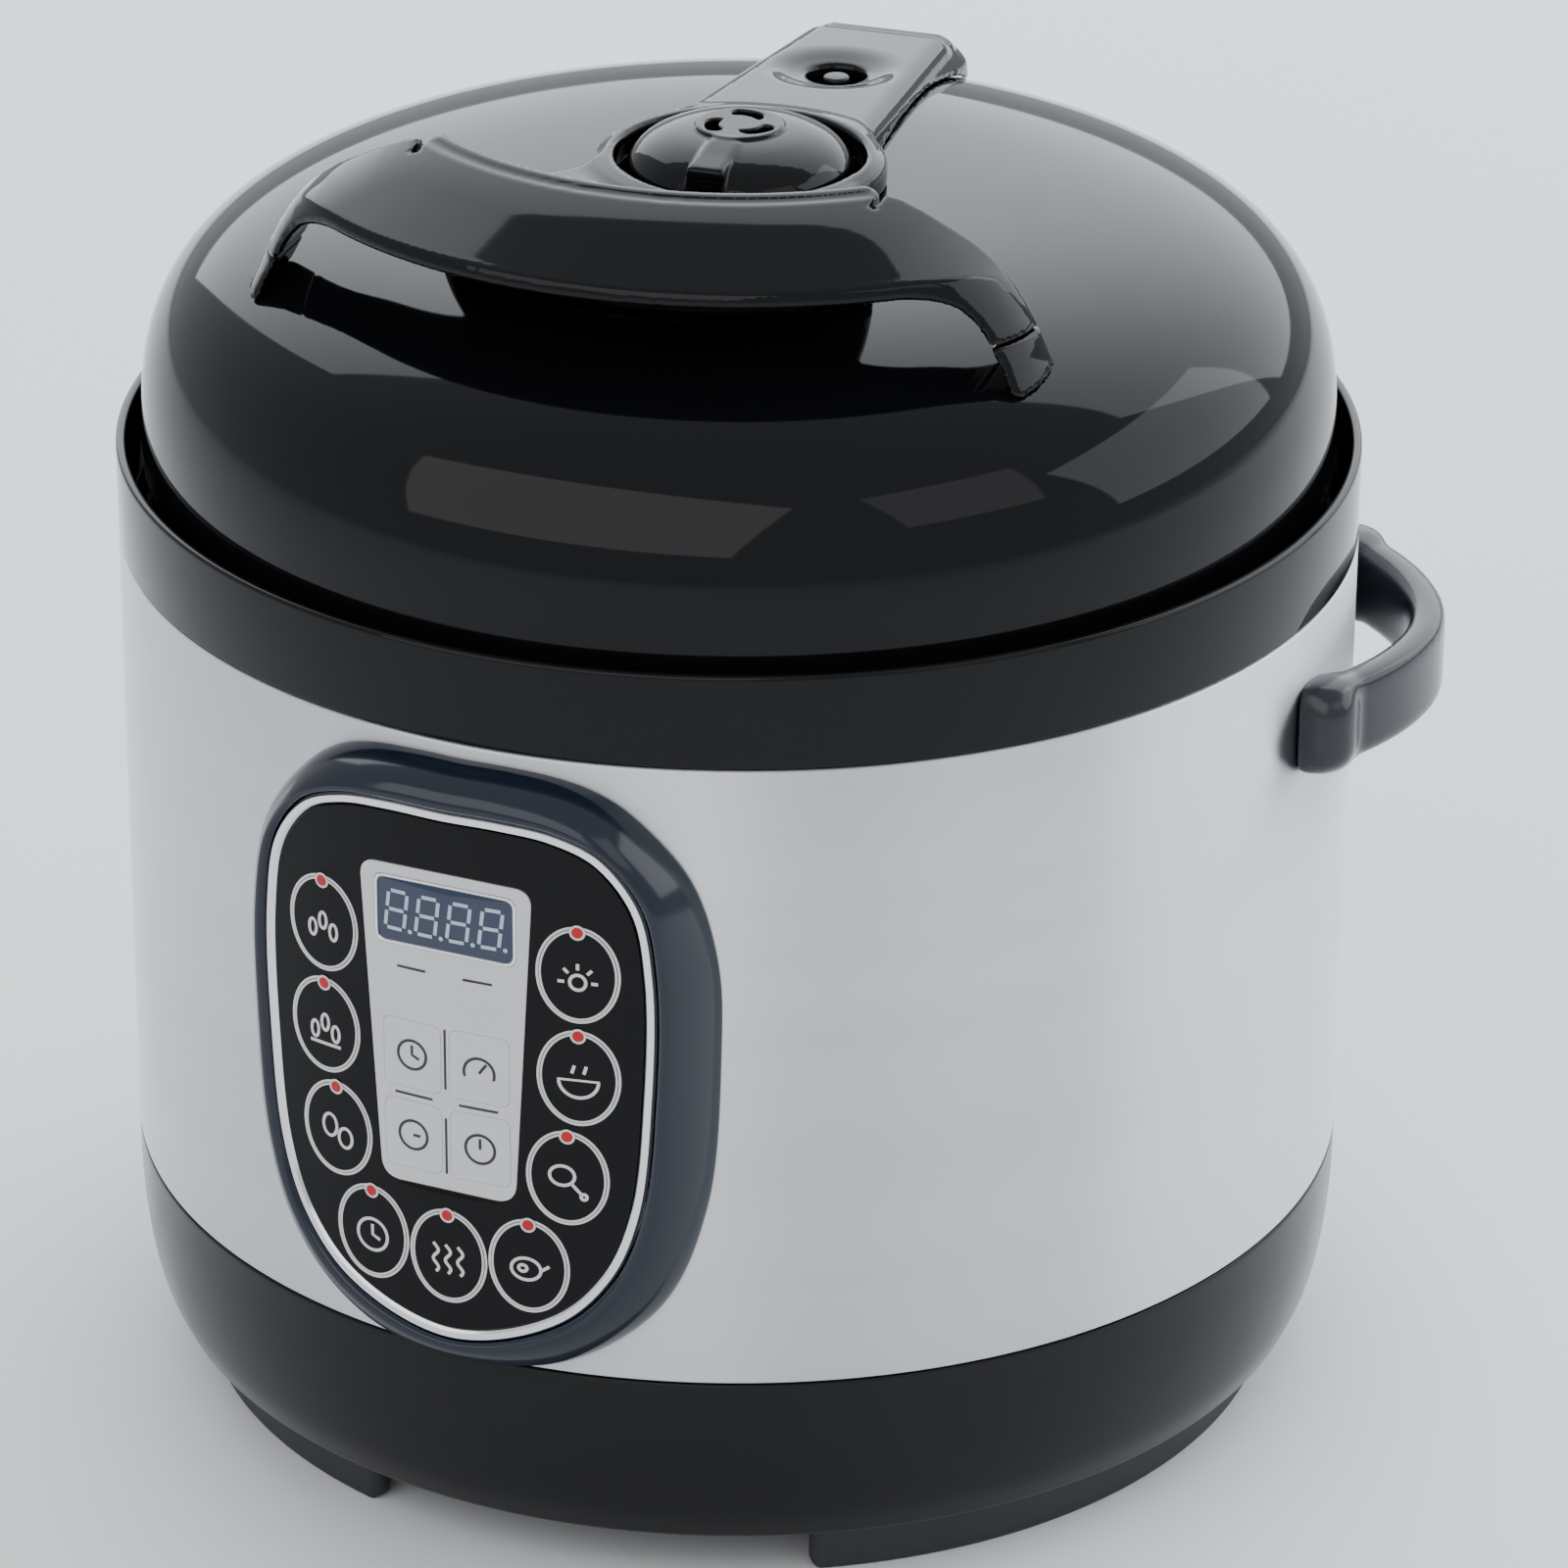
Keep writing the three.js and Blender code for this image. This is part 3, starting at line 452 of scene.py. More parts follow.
def offset(loop: Grid, distance: float) -> Grid:
    """Moves an anticlockwise loop outwards or inwards.

    Args:
        loop: Its points, one a row.
        distance: Millimetres outwards, negative inwards.

    Returns:
        The moved loop.
    """
    along = np.roll(loop, -1, axis=0) - np.roll(loop, 1, axis=0)
    along /= np.linalg.norm(along, axis=1)[:, None]
    return loop + distance * np.stack([along[:, 1], -along[:, 0]], axis=1)


def inside(point: Grid, loop: Grid) -> bool:
    """Says whether a point lies in a loop.

    Args:
        point: The point.
        loop: The closed loop's points, one a row.

    Returns:
        True for a point in the loop.
    """
    x, y = point
    a, b = loop, np.roll(loop, -1, axis=0)
    crossing = (a[:, 1] > y) != (b[:, 1] > y)
    rise = np.where(b[:, 1] == a[:, 1], 1e-12, b[:, 1] - a[:, 1])
    return bool(np.count_nonzero(crossing & (x < (b[:, 0] - a[:, 0]) * (y - a[:, 1]) / rise + a[:, 0])) % 2)


def ellipse(x: float, z: float, width: float, height: float, count: int = 64) -> Grid:
    """Anticlockwise ellipse."""
    a = np.linspace(0, 2 * np.pi, count, endpoint=False)
    return np.stack([x + width / 2 * np.cos(a), z + height / 2 * np.sin(a)], axis=1)


def rounded_box(x: float, z: float, width: float, height: float, radius: float) -> Grid:
    """Anticlockwise rectangle with round corners.

    Args:
        x: Centre along the width.
        z: Centre along the height.
        width: Whole width.
        height: Whole height.
        radius: Corner radius.

    Returns:
        Its points, one a row.
    """
    corners = [(x + width / 2, z - height / 2, radius), (x + width / 2, z + height / 2, radius),
               (x - width / 2, z + height / 2, radius), (x - width / 2, z - height / 2, radius)]
    return np.array(filleted(corners, steps=7))


def bend(arc: float, z: float, r: float) -> Vector:
    """Wraps a panel point, as arc length and height, onto a cylinder of radius r."""
    a = arc / PANEL_R
    return Vector((r * math.sin(a), -r * math.cos(a), z))


def wrapped(outline: Grid, holes: Sequence[Grid], front: float, depth: float, edge: float = 0.15,
            grid: Pair = (3.0, 7.0)) -> Solid:
    """Makes a plate with holes that follows the panel's curve.

    Args:
        outline: Anticlockwise outline, as arc length and height.
        holes: Anticlockwise outlines of the holes.
        front: Radius of the front face.
        depth: Thickness.
        edge: Width of the eased edge.
        grid: Spacing of the inner points along the arc and up.

    Returns:
        The plate.
    """
    loops = [offset(outline, -edge)] + [offset(hole, edge) for hole in holes]
    points = [tuple(p) for loop in loops for p in loop]
    edges: list[tuple[int, int]] = []
    start = 0
    for loop in loops:
        edges += [(start + k, start + (k + 1) % len(loop)) for k in range(len(loop))]
        start += len(loop)
    low, high = loops[0].min(axis=0), loops[0].max(axis=0)
    for x in np.arange(low[0] + grid[0] / 2, high[0], grid[0]):
        for z in np.arange(low[1] + grid[1] / 2, high[1], grid[1]):
            spot = np.array([x, z])
            near = min(float(np.min(np.linalg.norm(loop - spot, axis=1))) for loop in loops)
            if near > 0.8 and inside(spot, loops[0]) and not any(inside(spot, h) for h in loops[1:]):
                points.append((x, z))
    filled = delaunay_2d_cdt([Vector(p) for p in points], edges, [], 0, 1e-7)
    flat = np.array([tuple(v) for v in filled[0]])
    kept = []
    for face in filled[2]:
        middle = flat[list(face)].mean(axis=0)
        if inside(middle, loops[0]) and not any(inside(middle, h) for h in loops[1:]):
            kept.append(tuple(face))
    solid = Solid([bend(x, z, front) for x, z in flat], kept)
    back = Solid([bend(x, z, front - depth) for x, z in flat], [tuple(reversed(f)) for f in kept])
    solid.join(back)
    for inner, outer in zip(loops, [outline, *holes]):
        rows = [[bend(x, z, front) for x, z in inner], [bend(x, z, front - edge) for x, z in outer],
                [bend(x, z, front - depth + edge) for x, z in outer], [bend(x, z, front - depth) for x,
                                                                       z in inner]]
        solid.join(lofted(rows, caps=False))
    return solid


def sector(section: Sequence[Pair], middle: float, half: float, ease: float, segments: int = 24) -> Solid:
    """Part of a ring: a section carried round the axis, with eased ends.

    Args:
        section: (r, z) points of the section.
        middle: Bearing of its middle, in degrees from the panel.
        half: Half of the arc that it covers.
        ease: How far the last stretch at each end shrinks, in millimetres.
        segments: Steps along the arc.

    Returns:
        The solid.
    """
    outline = np.array(section)
    centre = outline.mean(axis=0)
    size = np.ptp(outline, axis=0)
    mean_r = float(centre[0])
    rings = []
    ends = [math.degrees(ease * (1 - math.cos(t)) / mean_r) for t in np.linspace(0, math.pi / 2, 5)]
    bearings = [-half + e for e in ends] + list(np.linspace(-half + ends[-1], half - ends[-1],
                                                            segments))[1:-1]
    bearings += [half - e for e in reversed(ends)]
    for b in bearings:
        gone = max(0.0, ease - math.radians(half - abs(b)) * mean_r)
        inset = ease - math.sqrt(max(0.0, ease * ease - gone * gone))
        scale = 1 - 2 * inset / size
        a = math.radians(middle + b)
        ring = centre + (outline - centre) * scale
        rings.append([Vector((r * math.sin(a), -r * math.cos(a), z)) for r, z in ring])
    return lofted(rings)


def cut(piece: bpy.types.Object, cutters: Iterable[bpy.types.Object], sharp: float = 34.0) -> None:
    """Takes the cutters out of a piece and throws them away.

    Args:
        piece: The piece that is cut.
        cutters: The objects that are taken out of it.
        sharp: Bend in degrees from which an edge stays sharp.
    """
    for cutter in cutters:
        step = piece.modifiers.new("cut", "BOOLEAN")
        step.object = cutter
        step.operation = "DIFFERENCE"
        step.solver = "EXACT"
        bpy.context.view_layer.update()
        result = bpy.data.meshes.new_from_object(piece.evaluated_get(bpy.context.evaluated_depsgraph_get()))
        piece.modifiers.clear()
        piece.data = result
        bpy.data.objects.remove(cutter)
    soften(piece.data, sharp)


# ---------------------------------------------------------------- distance fields

Field = Callable[[Grid, Grid, Grid], Grid]


def region(px: Grid, pz: Grid, loop: Sequence[Pair]) -> Grid:
    """Signed distance from points to a closed loop, negative inside.

    Args:
        px: The points' first coordinates.
        pz: Their second coordinates.
        loop: The loop's corners.

    Returns:
        The distance at each point, negative inside.
    """
    best: Grid | float = np.inf
    sign: Grid | float = 1.0
    points = [(float(x), float(z)) for x, z in loop]
    for (ax, az), (bx, bz) in zip(points, points[1:] + points[:1]):
        ex, ez, wx, wz = bx - ax, bz - az, px - ax, pz - az
        t = np.clip((wx * ex + wz * ez) / (ex * ex + ez * ez), 0, 1)
        best = np.minimum(best, (wx - ex * t) ** 2 + (wz - ez * t) ** 2)
        above, below, left = pz >= az, pz < bz, ex * wz > ez * wx
        sign = np.where((above & below & left) | (~above & ~below & ~left), -sign, sign)
    return sign * np.sqrt(best)


def meet(a: Grid, b: Grid, round_by: float = 0.0) -> Grid:
    """Where two fields overlap, with the edge rounded.

    Args:
        a: One field.
        b: The other field.
        round_by: Width of the rounding.

    Returns:
        The field of the overlap.
    """
    if not round_by:
        return np.maximum(a, b)
    return np.maximum(a, b) + np.maximum(round_by - np.abs(a - b), 0) ** 2 / (4 * round_by)


def join(a: Grid, b: Grid, round_by: float = 0.0) -> Grid:
    """Both fields together, with the corner between them filled."""
    return -meet(-a, -b, round_by)


def netted(shape: Field, low: Sequence[float], high: Sequence[float], step: float) -> Solid:
    """Skins a distance field with a mesh whose points are moved onto the surface and then smoothed.

    Args:
        shape: Signed distance in millimetres, negative inside.
        low: Lowest corner of the space that holds the shape.
        high: Highest corner.
        step: Size of a grid cell.

    Returns:
        The solid.
    """
    axes = [np.arange(a, b + step, step, dtype=np.float32) for a, b in zip(low, high)]
    x, y, z = (axis.reshape(tuple(-1 if i == k else 1 for i in range(3))) for k, axis in enumerate(axes))
    size = tuple(len(axis) for axis in axes)
    value = np.broadcast_to(shape(x, y, z), size)
    full = value < 0
    total = np.zeros(tuple(n - 1 for n in size) + (3,), np.float32)
    count = np.zeros(total.shape[:3], np.float32)
    quads = []
    for axis in range(3):
        others = [k for k in range(3) if k != axis]
        head = [slice(None)] * 3
        tail = [slice(None)] * 3
        head[axis], tail[axis] = slice(0, -1), slice(1, None)
        change = full[tuple(head)] != full[tuple(tail)]
        a, b = value[tuple(head)], value[tuple(tail)]
        share = np.where(change, a / np.where(change, a - b, 1), 0).astype(np.float32)
        for da in (0, 1):
            for db in (0, 1):
                pick = [slice(None)] * 3
                pick[others[0]] = slice(da, size[others[0]] - 1 + da)
                pick[others[1]] = slice(db, size[others[1]] - 1 + db)
                seen = change[tuple(pick)]
                total[..., axis] += np.where(seen, share[tuple(pick)], 0)
                total[..., others[0]] += seen * da
                total[..., others[1]] += seen * db
                count += seen
        where = np.argwhere(change)
        where = where[np.all([(where[:, o] > 0) & (where[:, o] < size[o] - 1) for o in others], axis=0)]
        cells = []
        for da, db in ((1, 1), (0, 1), (0, 0), (1, 0)):
            cell = where.copy()
            cell[:, others[0]] -= da
            cell[:, others[1]] -= db
            cells.append(np.ravel_multi_index(cell.T, count.shape))
        quad = np.stack(cells, axis=1)
        backwards = full[tuple(where.T)] == (axis == 1)
        quad[backwards] = quad[backwards][:, ::-1]
        quads.append(quad)
    used = np.flatnonzero(count)
    place = np.stack(np.unravel_index(used, count.shape), axis=1)
    points = np.array(low) + (place + total.reshape(-1, 3)[used] / count.ravel()[used][:, None]) * step
    number = np.full(count.size, -1)
    number[used] = np.arange(len(used))
    faces = number[np.concatenate(quads)]
    points = onto(relaxed(onto(points, shape, step, 3), faces, 0.5), shape, step, 3)
    for share in SMOOTHING * 5:
        points = relaxed(points, faces, share)
    return Solid([Vector(p) for p in points], [tuple(q) for q in faces])


def onto(points: Grid, shape: Field, step: float, rounds: int) -> Grid:
    """Moves points onto the surface where the field is zero, at most 0.4 of a step each round.

    Args:
        points: The points, one a row.
        shape: The distance field.
        step: The grid's step.
        rounds: How often the points move.

    Returns:
        The moved points.
    """
    small = step * 0.05
    for _ in range(rounds):
        px, py, pz = points.T
        here = shape(px, py, pz)
        slope = np.stack([shape(px + small, py, pz) - shape(px - small, py, pz),
                          shape(px, py + small, pz) - shape(px, py - small, pz),
                          shape(px, py, pz + small) - shape(px, py, pz - small)], axis=1) / (2 * small)
        move = here[:, None] * slope / np.maximum(0.05, np.sum(slope ** 2, axis=1))[:, None]
        points = points - np.clip(move, -step * 0.4, step * 0.4)
    return points


def relaxed(points: Grid, faces: Grid, share: float) -> Grid:
    """Moves each point a share of the way to the mean of its neighbours, away from it when negative.

    Args:
        points: The points, one a row.
        faces: Four point numbers a row.
        share: Share of the way, negative for away.

    Returns:
        The moved points.
    """
    near = np.concatenate([faces[:, k] for k in range(4)] * 2)
    far = np.concatenate([np.roll(faces, turn, axis=1)[:, k] for turn in (1, -1) for k in range(4)])
    number = np.bincount(near, minlength=len(points))
    mean = np.stack([np.bincount(near, points[far, k], len(points)) for k in range(3)], axis=1)
    mean /= np.maximum(number, 1)[:, None]
    return points + (mean - points) * share


def cell(fine: float) -> float:
    """Returns the grid size: the fine size as given."""
    return fine * 1.0


def mirrored(half: Sequence[Pair], count: int) -> Grid:
    """Smooth anticlockwise outline from its right half.

    Args:
        half: Corner points of the right half, from the top down.
        count: Points in the outline.

    Returns:
        The outline's points, one a row.
    """
    right = [(x, z) for x, z in half]
    left = [(-x, z) for x, z in reversed(half[1:-1])]
    return smooth_path([*right, *left], count, closed=True)[::-1]


# ---------------------------------------------------------------- base


@dataclass
class Base:
    """Lower housing, steel sleeve, collar and the two foot skirts."""

    radius: float = 107.0
    sleeve: Pair = (43.4, 155.9)
    sleeve_wall: float = 0.9
    rim: float = 172.5
    shell: tuple[Pair, ...] = ((102, 10.7), (104.3, 16), (105.8, 23), (106.7, 32), (107, 43.05))
    shell_wall: float = 2.4
    foot_r: Pair = (91.5, 95.9)
    foot_top: float = 10.35
    foot_bearing: float = 98.0
    foot_half: float = 66.0

    def build(self) -> None:
        """Builds every piece of the base that shows."""
        self._shell()
        self._feet()
        self._sleeve()
        self._collar()

    def _shell(self) -> None:
        """Satin shell that bulges out from the foot to the sleeve."""
        outer = [tuple(p) for p in smooth_path(self.shell, 24)]
        inner = [(r - self.shell_wall, z) for r, z in reversed(outer)]
        section = filleted([(outer[0][0], outer[0][1], 1.2), *outer[1:-1], (*outer[-1], 0.5), *inner])
        fit(revolved(section).make("housing_shell"), Body.BASE, SATIN_BLACK, "satin_black", "base_shell")

    def _feet(self) -> None:
        """Textured skirts that the cooker stands on."""
        inner, outer = self.foot_r
        section = filleted([(inner, 0, 0.8), (outer, 0, 0.8), (outer, self.foot_top, 0.4),
                            (inner, self.foot_top, 0.4)], steps=3)
        for name, bearing in (("right", self.foot_bearing), ("left", self.foot_bearing - 180)):
            skirt = sector(section, bearing, self.foot_half, 2.0, 60)
            fit(skirt.make(f"skirt_{name}"), Body.BASE, SKIRT_GREY, "dark_grey", f"foot_skirt_{name}")

    def _sleeve(self) -> None:
        """Brushed sleeve with rolled ends and cut-outs for the inlet and the drain."""
        low, high = self.sleeve
        inner = self.radius - self.sleeve_wall
        section = filleted([(self.radius, low, 0.4), (self.radius, high, 0.4), (inner, high, 0.3),
                            (inner, low, 0.3)],
                           steps=3)
        sleeve = revolved(section, segments=256).make("steel_sleeve")
        inlet = plate(rounded_box(0, 62, 26.7, 20.7, 2), 95, 125).make("inlet_cutter")
        drain = plate(ellipse(0, 139.4, 7.6, 7.6, 32), 95, 125).make("drain_cutter")
        cut(sleeve, [inlet, drain])
        fit(sleeve, Body.BASE, SLEEVE_STEEL, "steel_satin", "body_sleeve")

    def _collar(self) -> None:
        """Gloss collar: outer band with a rolled rim, a gutter and the wall round the pot housing."""
        r, step = self.radius, self.sleeve[1]
        inner = r - self.sleeve_wall - 0.35
        section = filleted([
            (r, step + 0.35, 0.3), (r, self.rim, 0.9), (r - 1.8, self.rim, 0.9), (r - 1.8, step + 1, 0.6),
            (inner - 1.8, step - 2, 0.6), (inner - 1.8, 146, 2), (86, 146, 2), (86, 153.4, 0.6),
                            (83.6, 153.4, 0.6),
            (83.6, 144), (inner, 144, 1), (inner, step + 0.35)])
        fit(revolved(section, segments=256).make("collar"), Body.BASE, GLOSS_BLACK, "gloss_black",
            "top_collar")


def plate(outline: Sequence[Pair], near: float, far: float) -> Solid:
    """Straight prism from an outline in x and z, between two values of y."""
    return lofted([[Vector((x, y, z)) for x, z in outline] for y in (near, far)])


def column(x: float, y: float, radius: float, low: float, high: float) -> Solid:
    """Upright round bar, used as a cutter."""
    return revolved([(0, low), (radius, low), (radius, high), (0, high)], closed=False,
                    segments=64).move(x, y, 0)


@dataclass
class SideHandle:
    """Loop handle that stands out from the sleeve."""

    side: int = 1
    bearing: float = 105.5
    low: float = 130.0
    high: float = 145.0
    thick: float = 6.0
    core: float = 107.1
    edge: float = 2.6
    boss_edge: float = 5.0
    boss_place: Pair = (33.4, 105.2)
    boss_r: float = 5.2
    line: tuple[Pair, ...] = ((-36.4, 96), (-35.4, 104), (-31.2, 109.4), (-20.5, 117), (-9, 121.5),
                              (0, 122.6),
                              (9, 121.5), (20.5, 117), (31.2, 109.4), (35.4, 104), (36.4, 96))

    def build(self) -> None:
        """Builds the loop with its rounded bosses."""
        name = "right" if self.side > 0 else "left"
        outer = smooth_path(self.line, 48)
        inner = offset(outer, self.thick)
        band = [tuple(p) for p in [*outer, *inner[1:-1][::-1]]]
        middle, half = (self.low + self.high) / 2, (self.high - self.low) / 2

        def shape(x: Grid, y: Grid, z: Grid) -> Grid:
            """Distance to the loop, before it is turned to its bearing.

            Args:
                x: Grid of x values.
                y: Grid of y values.
                z: Grid of z values.

            Returns:
                The distance at each point, negative inside.
            """
            bar = meet(region(x, -y, band), np.abs(z - middle) - half, self.edge)
            aside, out = self.boss_place
            post = np.hypot(np.abs(x) - aside, -y - out) - self.boss_r
            boss = meet(post, np.abs(z - middle) - half, self.boss_edge)
            return meet(join(bar, boss, 3.0), self.core - np.hypot(x, y), 0.6)

        loop = netted(shape, (-40, -124.5, self.low - 1), (40, -94, self.high + 1), cell(0.8))
        loop.turn(self.side * self.bearing)
        fit(loop.make(f"loop_handle_{name}", 60), Body.BASE, HANDLE_GREY, "dark_grey", f"side_handle_{name}")


# ---------------------------------------------------------------- control panel


class Mark(Enum):
    """Plain pictograms printed on the keys."""

    GRAINS = "grains"
    GRAINS_DARK = "grains_dark"
    BEANS = "beans"
    CLOCK = "clock"
    STEAM = "steam"
    JOINT = "joint"
    DRUMSTICK = "drumstick"
    BOWL = "bowl"
    WARMTH = "warmth"
    GAUGE = "gauge"
    LONG_HAND = "long_hand"
    SHORT_HAND = "short_hand"


def arc_line(x: float, z: float, width: float, height: float, start: float, end: float,
             count: int = 25) -> list[Pair]:
    """Points along part of an ellipse, its angles in degrees."""
    return [(x + width / 2 * math.cos(a), z + height / 2 * math.sin(a))
            for a in np.radians(np.linspace(start, end, count))]


def strokes(mark: Mark) -> list[list[Pair]]:
    """Draws a pictogram about 6 mm wide, centred on (0, 0).

    Args:
        mark: Which pictogram.

    Returns:
        Its lines, each a list of points.
    """
    ring = arc_line(0, 0, 5.2, 5.2, 0, 360, 41)
    grain = [[(x + p[0], z + p[1]) for p in arc_line(0, 0, 1.3, 2.6, 0, 360, 25)]
             for x, z in ((-1.9, -0.6), (0, 0.9), (1.9, -0.6))]
    dome = arc_line(0, 0.2, 6, 5.6, 180, 360)
    waves = [[(x + 0.45 * math.sin(t * 5.2), -2.4 + 4.8 * t / 2) for t in np.linspace(0, 2, 17)]
             for x in (-2, 0, 2)]
    return {
        Mark.GRAINS: grain,
        Mark.GRAINS_DARK: [*grain, [(-2.8, -2.6), (2.8, -2.6)]],
        Mark.BEANS: [arc_line(-1.3, 0.7, 2.5, 3.6, -70, 290), arc_line(1.5, -0.8, 2.4, 3.2, -70, 290)],
        Mark.CLOCK: [ring, [(0, 1.7), (0, 0), (1.3, -0.6)]],
        Mark.STEAM: waves,
        Mark.JOINT: [arc_line(-0.4, 0, 4.6, 3.6, 0, 360, 41), arc_line(-0.9, 0.1, 1.3, 1.1, 0, 360),
                     [(1.9, 0), (3.2, 0.9)]],
        Mark.DRUMSTICK: [arc_line(-0.8, 0.9, 3.8, 3.2, 0, 360, 41), [(0.6, -0.3), (2.3, -2.1)],
                         arc_line(2.5, -2.3, 0.9, 0.9, 0, 360)],
        Mark.BOWL: [[*dome, dome[0]], [(-1, 1.3), (-0.6, 2.6)], [(0.8, 1.3), (1.2, 2.6)]],
        Mark.WARMTH: [arc_line(0, -0.6, 2.4, 2.4, 0, 360),
                      *[[(2.0 * math.cos(a), -0.6 + 2.0 * math.sin(a)),
                         (3.0 * math.cos(a), -0.6 + 3.0 * math.sin(a))]
                        for a in np.radians([0, 45, 90, 135, 180])]],
        Mark.GAUGE: [arc_line(0, -0.8, 5.4, 5.4, -20, 200), [(0, -0.8), (1.3, 1.0)]],
        Mark.LONG_HAND: [ring, [(0, 0), (0, 1.9)]],
        Mark.SHORT_HAND: [ring, [(0, 0), (1.3, 0)]],
    }[mark]


@dataclass(frozen=True)
class KeySpot:
    """Name, place on the panel and mark of one key."""

    node: str
    body: str
    arc: float
    z: float
    mark: Mark


@dataclass
class ControlPanel:
    """Bulging bezel, bright trim, black film, grey card with the display, and the keys."""

    crest: float = 116.25
    inner_r: float = 107.6
    trim_width: float = 2.0
    key_size: Pair = (13.2, 16.4)
    setting_size: Pair = (10.6, 12.4)
    rise: float = 0.08
    housing: tuple[Pair, ...] = ((0, 153.9), (4.5, 153.9), (9, 153.1), (12.5, 151.1), (15.5, 147.4),
                                 (20.3, 136.8),
                                 (22.7, 122), (23, 105), (21.8, 77), (17.8, 58.2), (9.5, 46.3), (0, 43.8))
    trim: tuple[Pair, ...] = ((0, 147.9), (5, 147.9), (9.5, 146.9), (13.4, 143.5), (16.6, 135), (17.8, 122),
                              (17.7, 100),
                              (16.6, 79), (14.2, 66.6), (9.6, 57), (0, 50.9))
    keys: tuple[KeySpot, ...] = (
        KeySpot("key_white_rice", "white_rice_key", -23.2, 122.3, Mark.GRAINS),
        KeySpot("key_brown_rice", "brown_rice_key", -23.2, 103.6, Mark.GRAINS_DARK),
        KeySpot("key_beans", "beans_key", -21.2, 85, Mark.BEANS),
        KeySpot("key_slow_cook", "slow_cook_key", -14.4, 67.6, Mark.CLOCK),
        KeySpot("key_steam", "steam_key", 0, 66.6, Mark.STEAM),
        KeySpot("key_meat", "meat_key", 14.4, 67.6, Mark.JOINT),
        KeySpot("key_poultry", "poultry_key", 21.2, 85, Mark.DRUMSTICK),
        KeySpot("key_soup", "soup_key", 23.2, 103.6, Mark.BOWL),
        KeySpot("key_keep_warm", "keep_warm_key", 23.2, 122.3, Mark.WARMTH))
    settings: tuple[KeySpot, ...] = (
        KeySpot("key_delay", "delay_key", -6.1, 102.6, Mark.CLOCK),
        KeySpot("key_pressure", "pressure_key", 6.1, 102.6, Mark.GAUGE),
        KeySpot("key_hour", "hour_key", -6.1, 87.8, Mark.SHORT_HAND),
        KeySpot("key_minute", "minute_key", 6.1, 87.8, Mark.LONG_HAND))
    card: tuple[tuple[float, float, float], ...] = ((12.2, 78.8, 3.4), (15.6, 136.4, 3.4),
                                                    (-15.6, 136.4, 3.4),
                                                    (-12.2, 78.8, 3.4))
    window: tuple[float, float, float, float] = (128.3, 25.4, 12.2, 2.0)

    def build(self) -> None:
        """Builds the panel from the bezel inwards."""
        outer = mirrored([(math.radians(a) * PANEL_R, z) for a, z in self.housing], 200)
        trim = mirrored([(math.radians(a) * PANEL_R, z) for a, z in self.trim], 200)
        self._bezel(outer, offset(trim, 0.25))
        ring = wrapped(trim, [offset(trim, -self.trim_width)], PANEL_R + 0.2, 3.5, 0.45)
        fit(ring.make("bright_trim"), Body.BASE, CHROME, "chrome_trim", "panel_trim")
        card = np.array(filleted(self.card, steps=8))
        self._film(offset(trim, -self.trim_width - 0.1), card)
        self._card(card)
        self._display()
        for spot in self.keys:
            self._key(spot)
        for spot in self.settings:
            self._setting(spot)

    def _bezel(self, outer: Grid, inner: Grid) -> None:
        """Gloss surround that swells from the sleeve to a crest beside the trim.

        Args:
            outer: Outline on the sleeve.
            inner: Outline beside the trim.
        """
        rows = []
        for u in (1 - np.cos(np.linspace(0, np.pi, 29))) / 2:
            row = []
            for o, i in zip(outer, inner):
                power = 1.14 + (0.75 if o[1] > i[1] else 0.3) * (abs(o[1] - i[1]) / np.hypot(*(o - i))) ** 2
                r = self.inner_r + (self.crest - self.inner_r) * (1 - (1 - u) ** power) ** (1 / power)
                row.append(bend(*(o + (i - o) * 0.84 * u), r))
            rows.append(row)
        for across, r in ((0.88, self.crest), (0.93, self.crest - 0.06), (0.97, self.crest - 0.3),
                          (1.0, PANEL_R - 0.2), (1.0, self.inner_r)):
            rows.append([bend(*(o + (i - o) * across), r) for o, i in zip(outer, inner)])
        ring = lofted(rows, loop=True)
        fit(ring.make("bezel", 50), Body.BASE, NAVY, "navy_gloss", "panel_housing")

    def _film(self, outline: Grid, card: Grid) -> None:
        """Black film with an opening for each key and the card.

        Args:
            outline: The film's edge.
            card: The card's edge.
        """
        holes = [offset(card, 0.15)]
        holes += [ellipse(k.arc, k.z, self.key_size[0] + 0.12, self.key_size[1] + 0.12) for k in self.keys]
        film = wrapped(outline, holes, PANEL_R, 1.8, 0.12)
        fit(film.make("panel_film"), Body.BASE, FASCIA_BLACK, "satin_black", "panel_fascia")
        rings = Solid()
        for k in self.keys:
            outside = ellipse(k.arc, k.z, self.key_size[0] + 1.0, self.key_size[1] + 1.0)
            inside_line = ellipse(k.arc, k.z, self.key_size[0] + 0.14, self.key_size[1] + 0.14)
            rings.join(wrapped(outside, [inside_line], PANEL_R + 0.05, 0.1, 0.02))
        fit(rings.make("key_rings"), Body.BASE, PRINT_LIGHT, "card_grey")

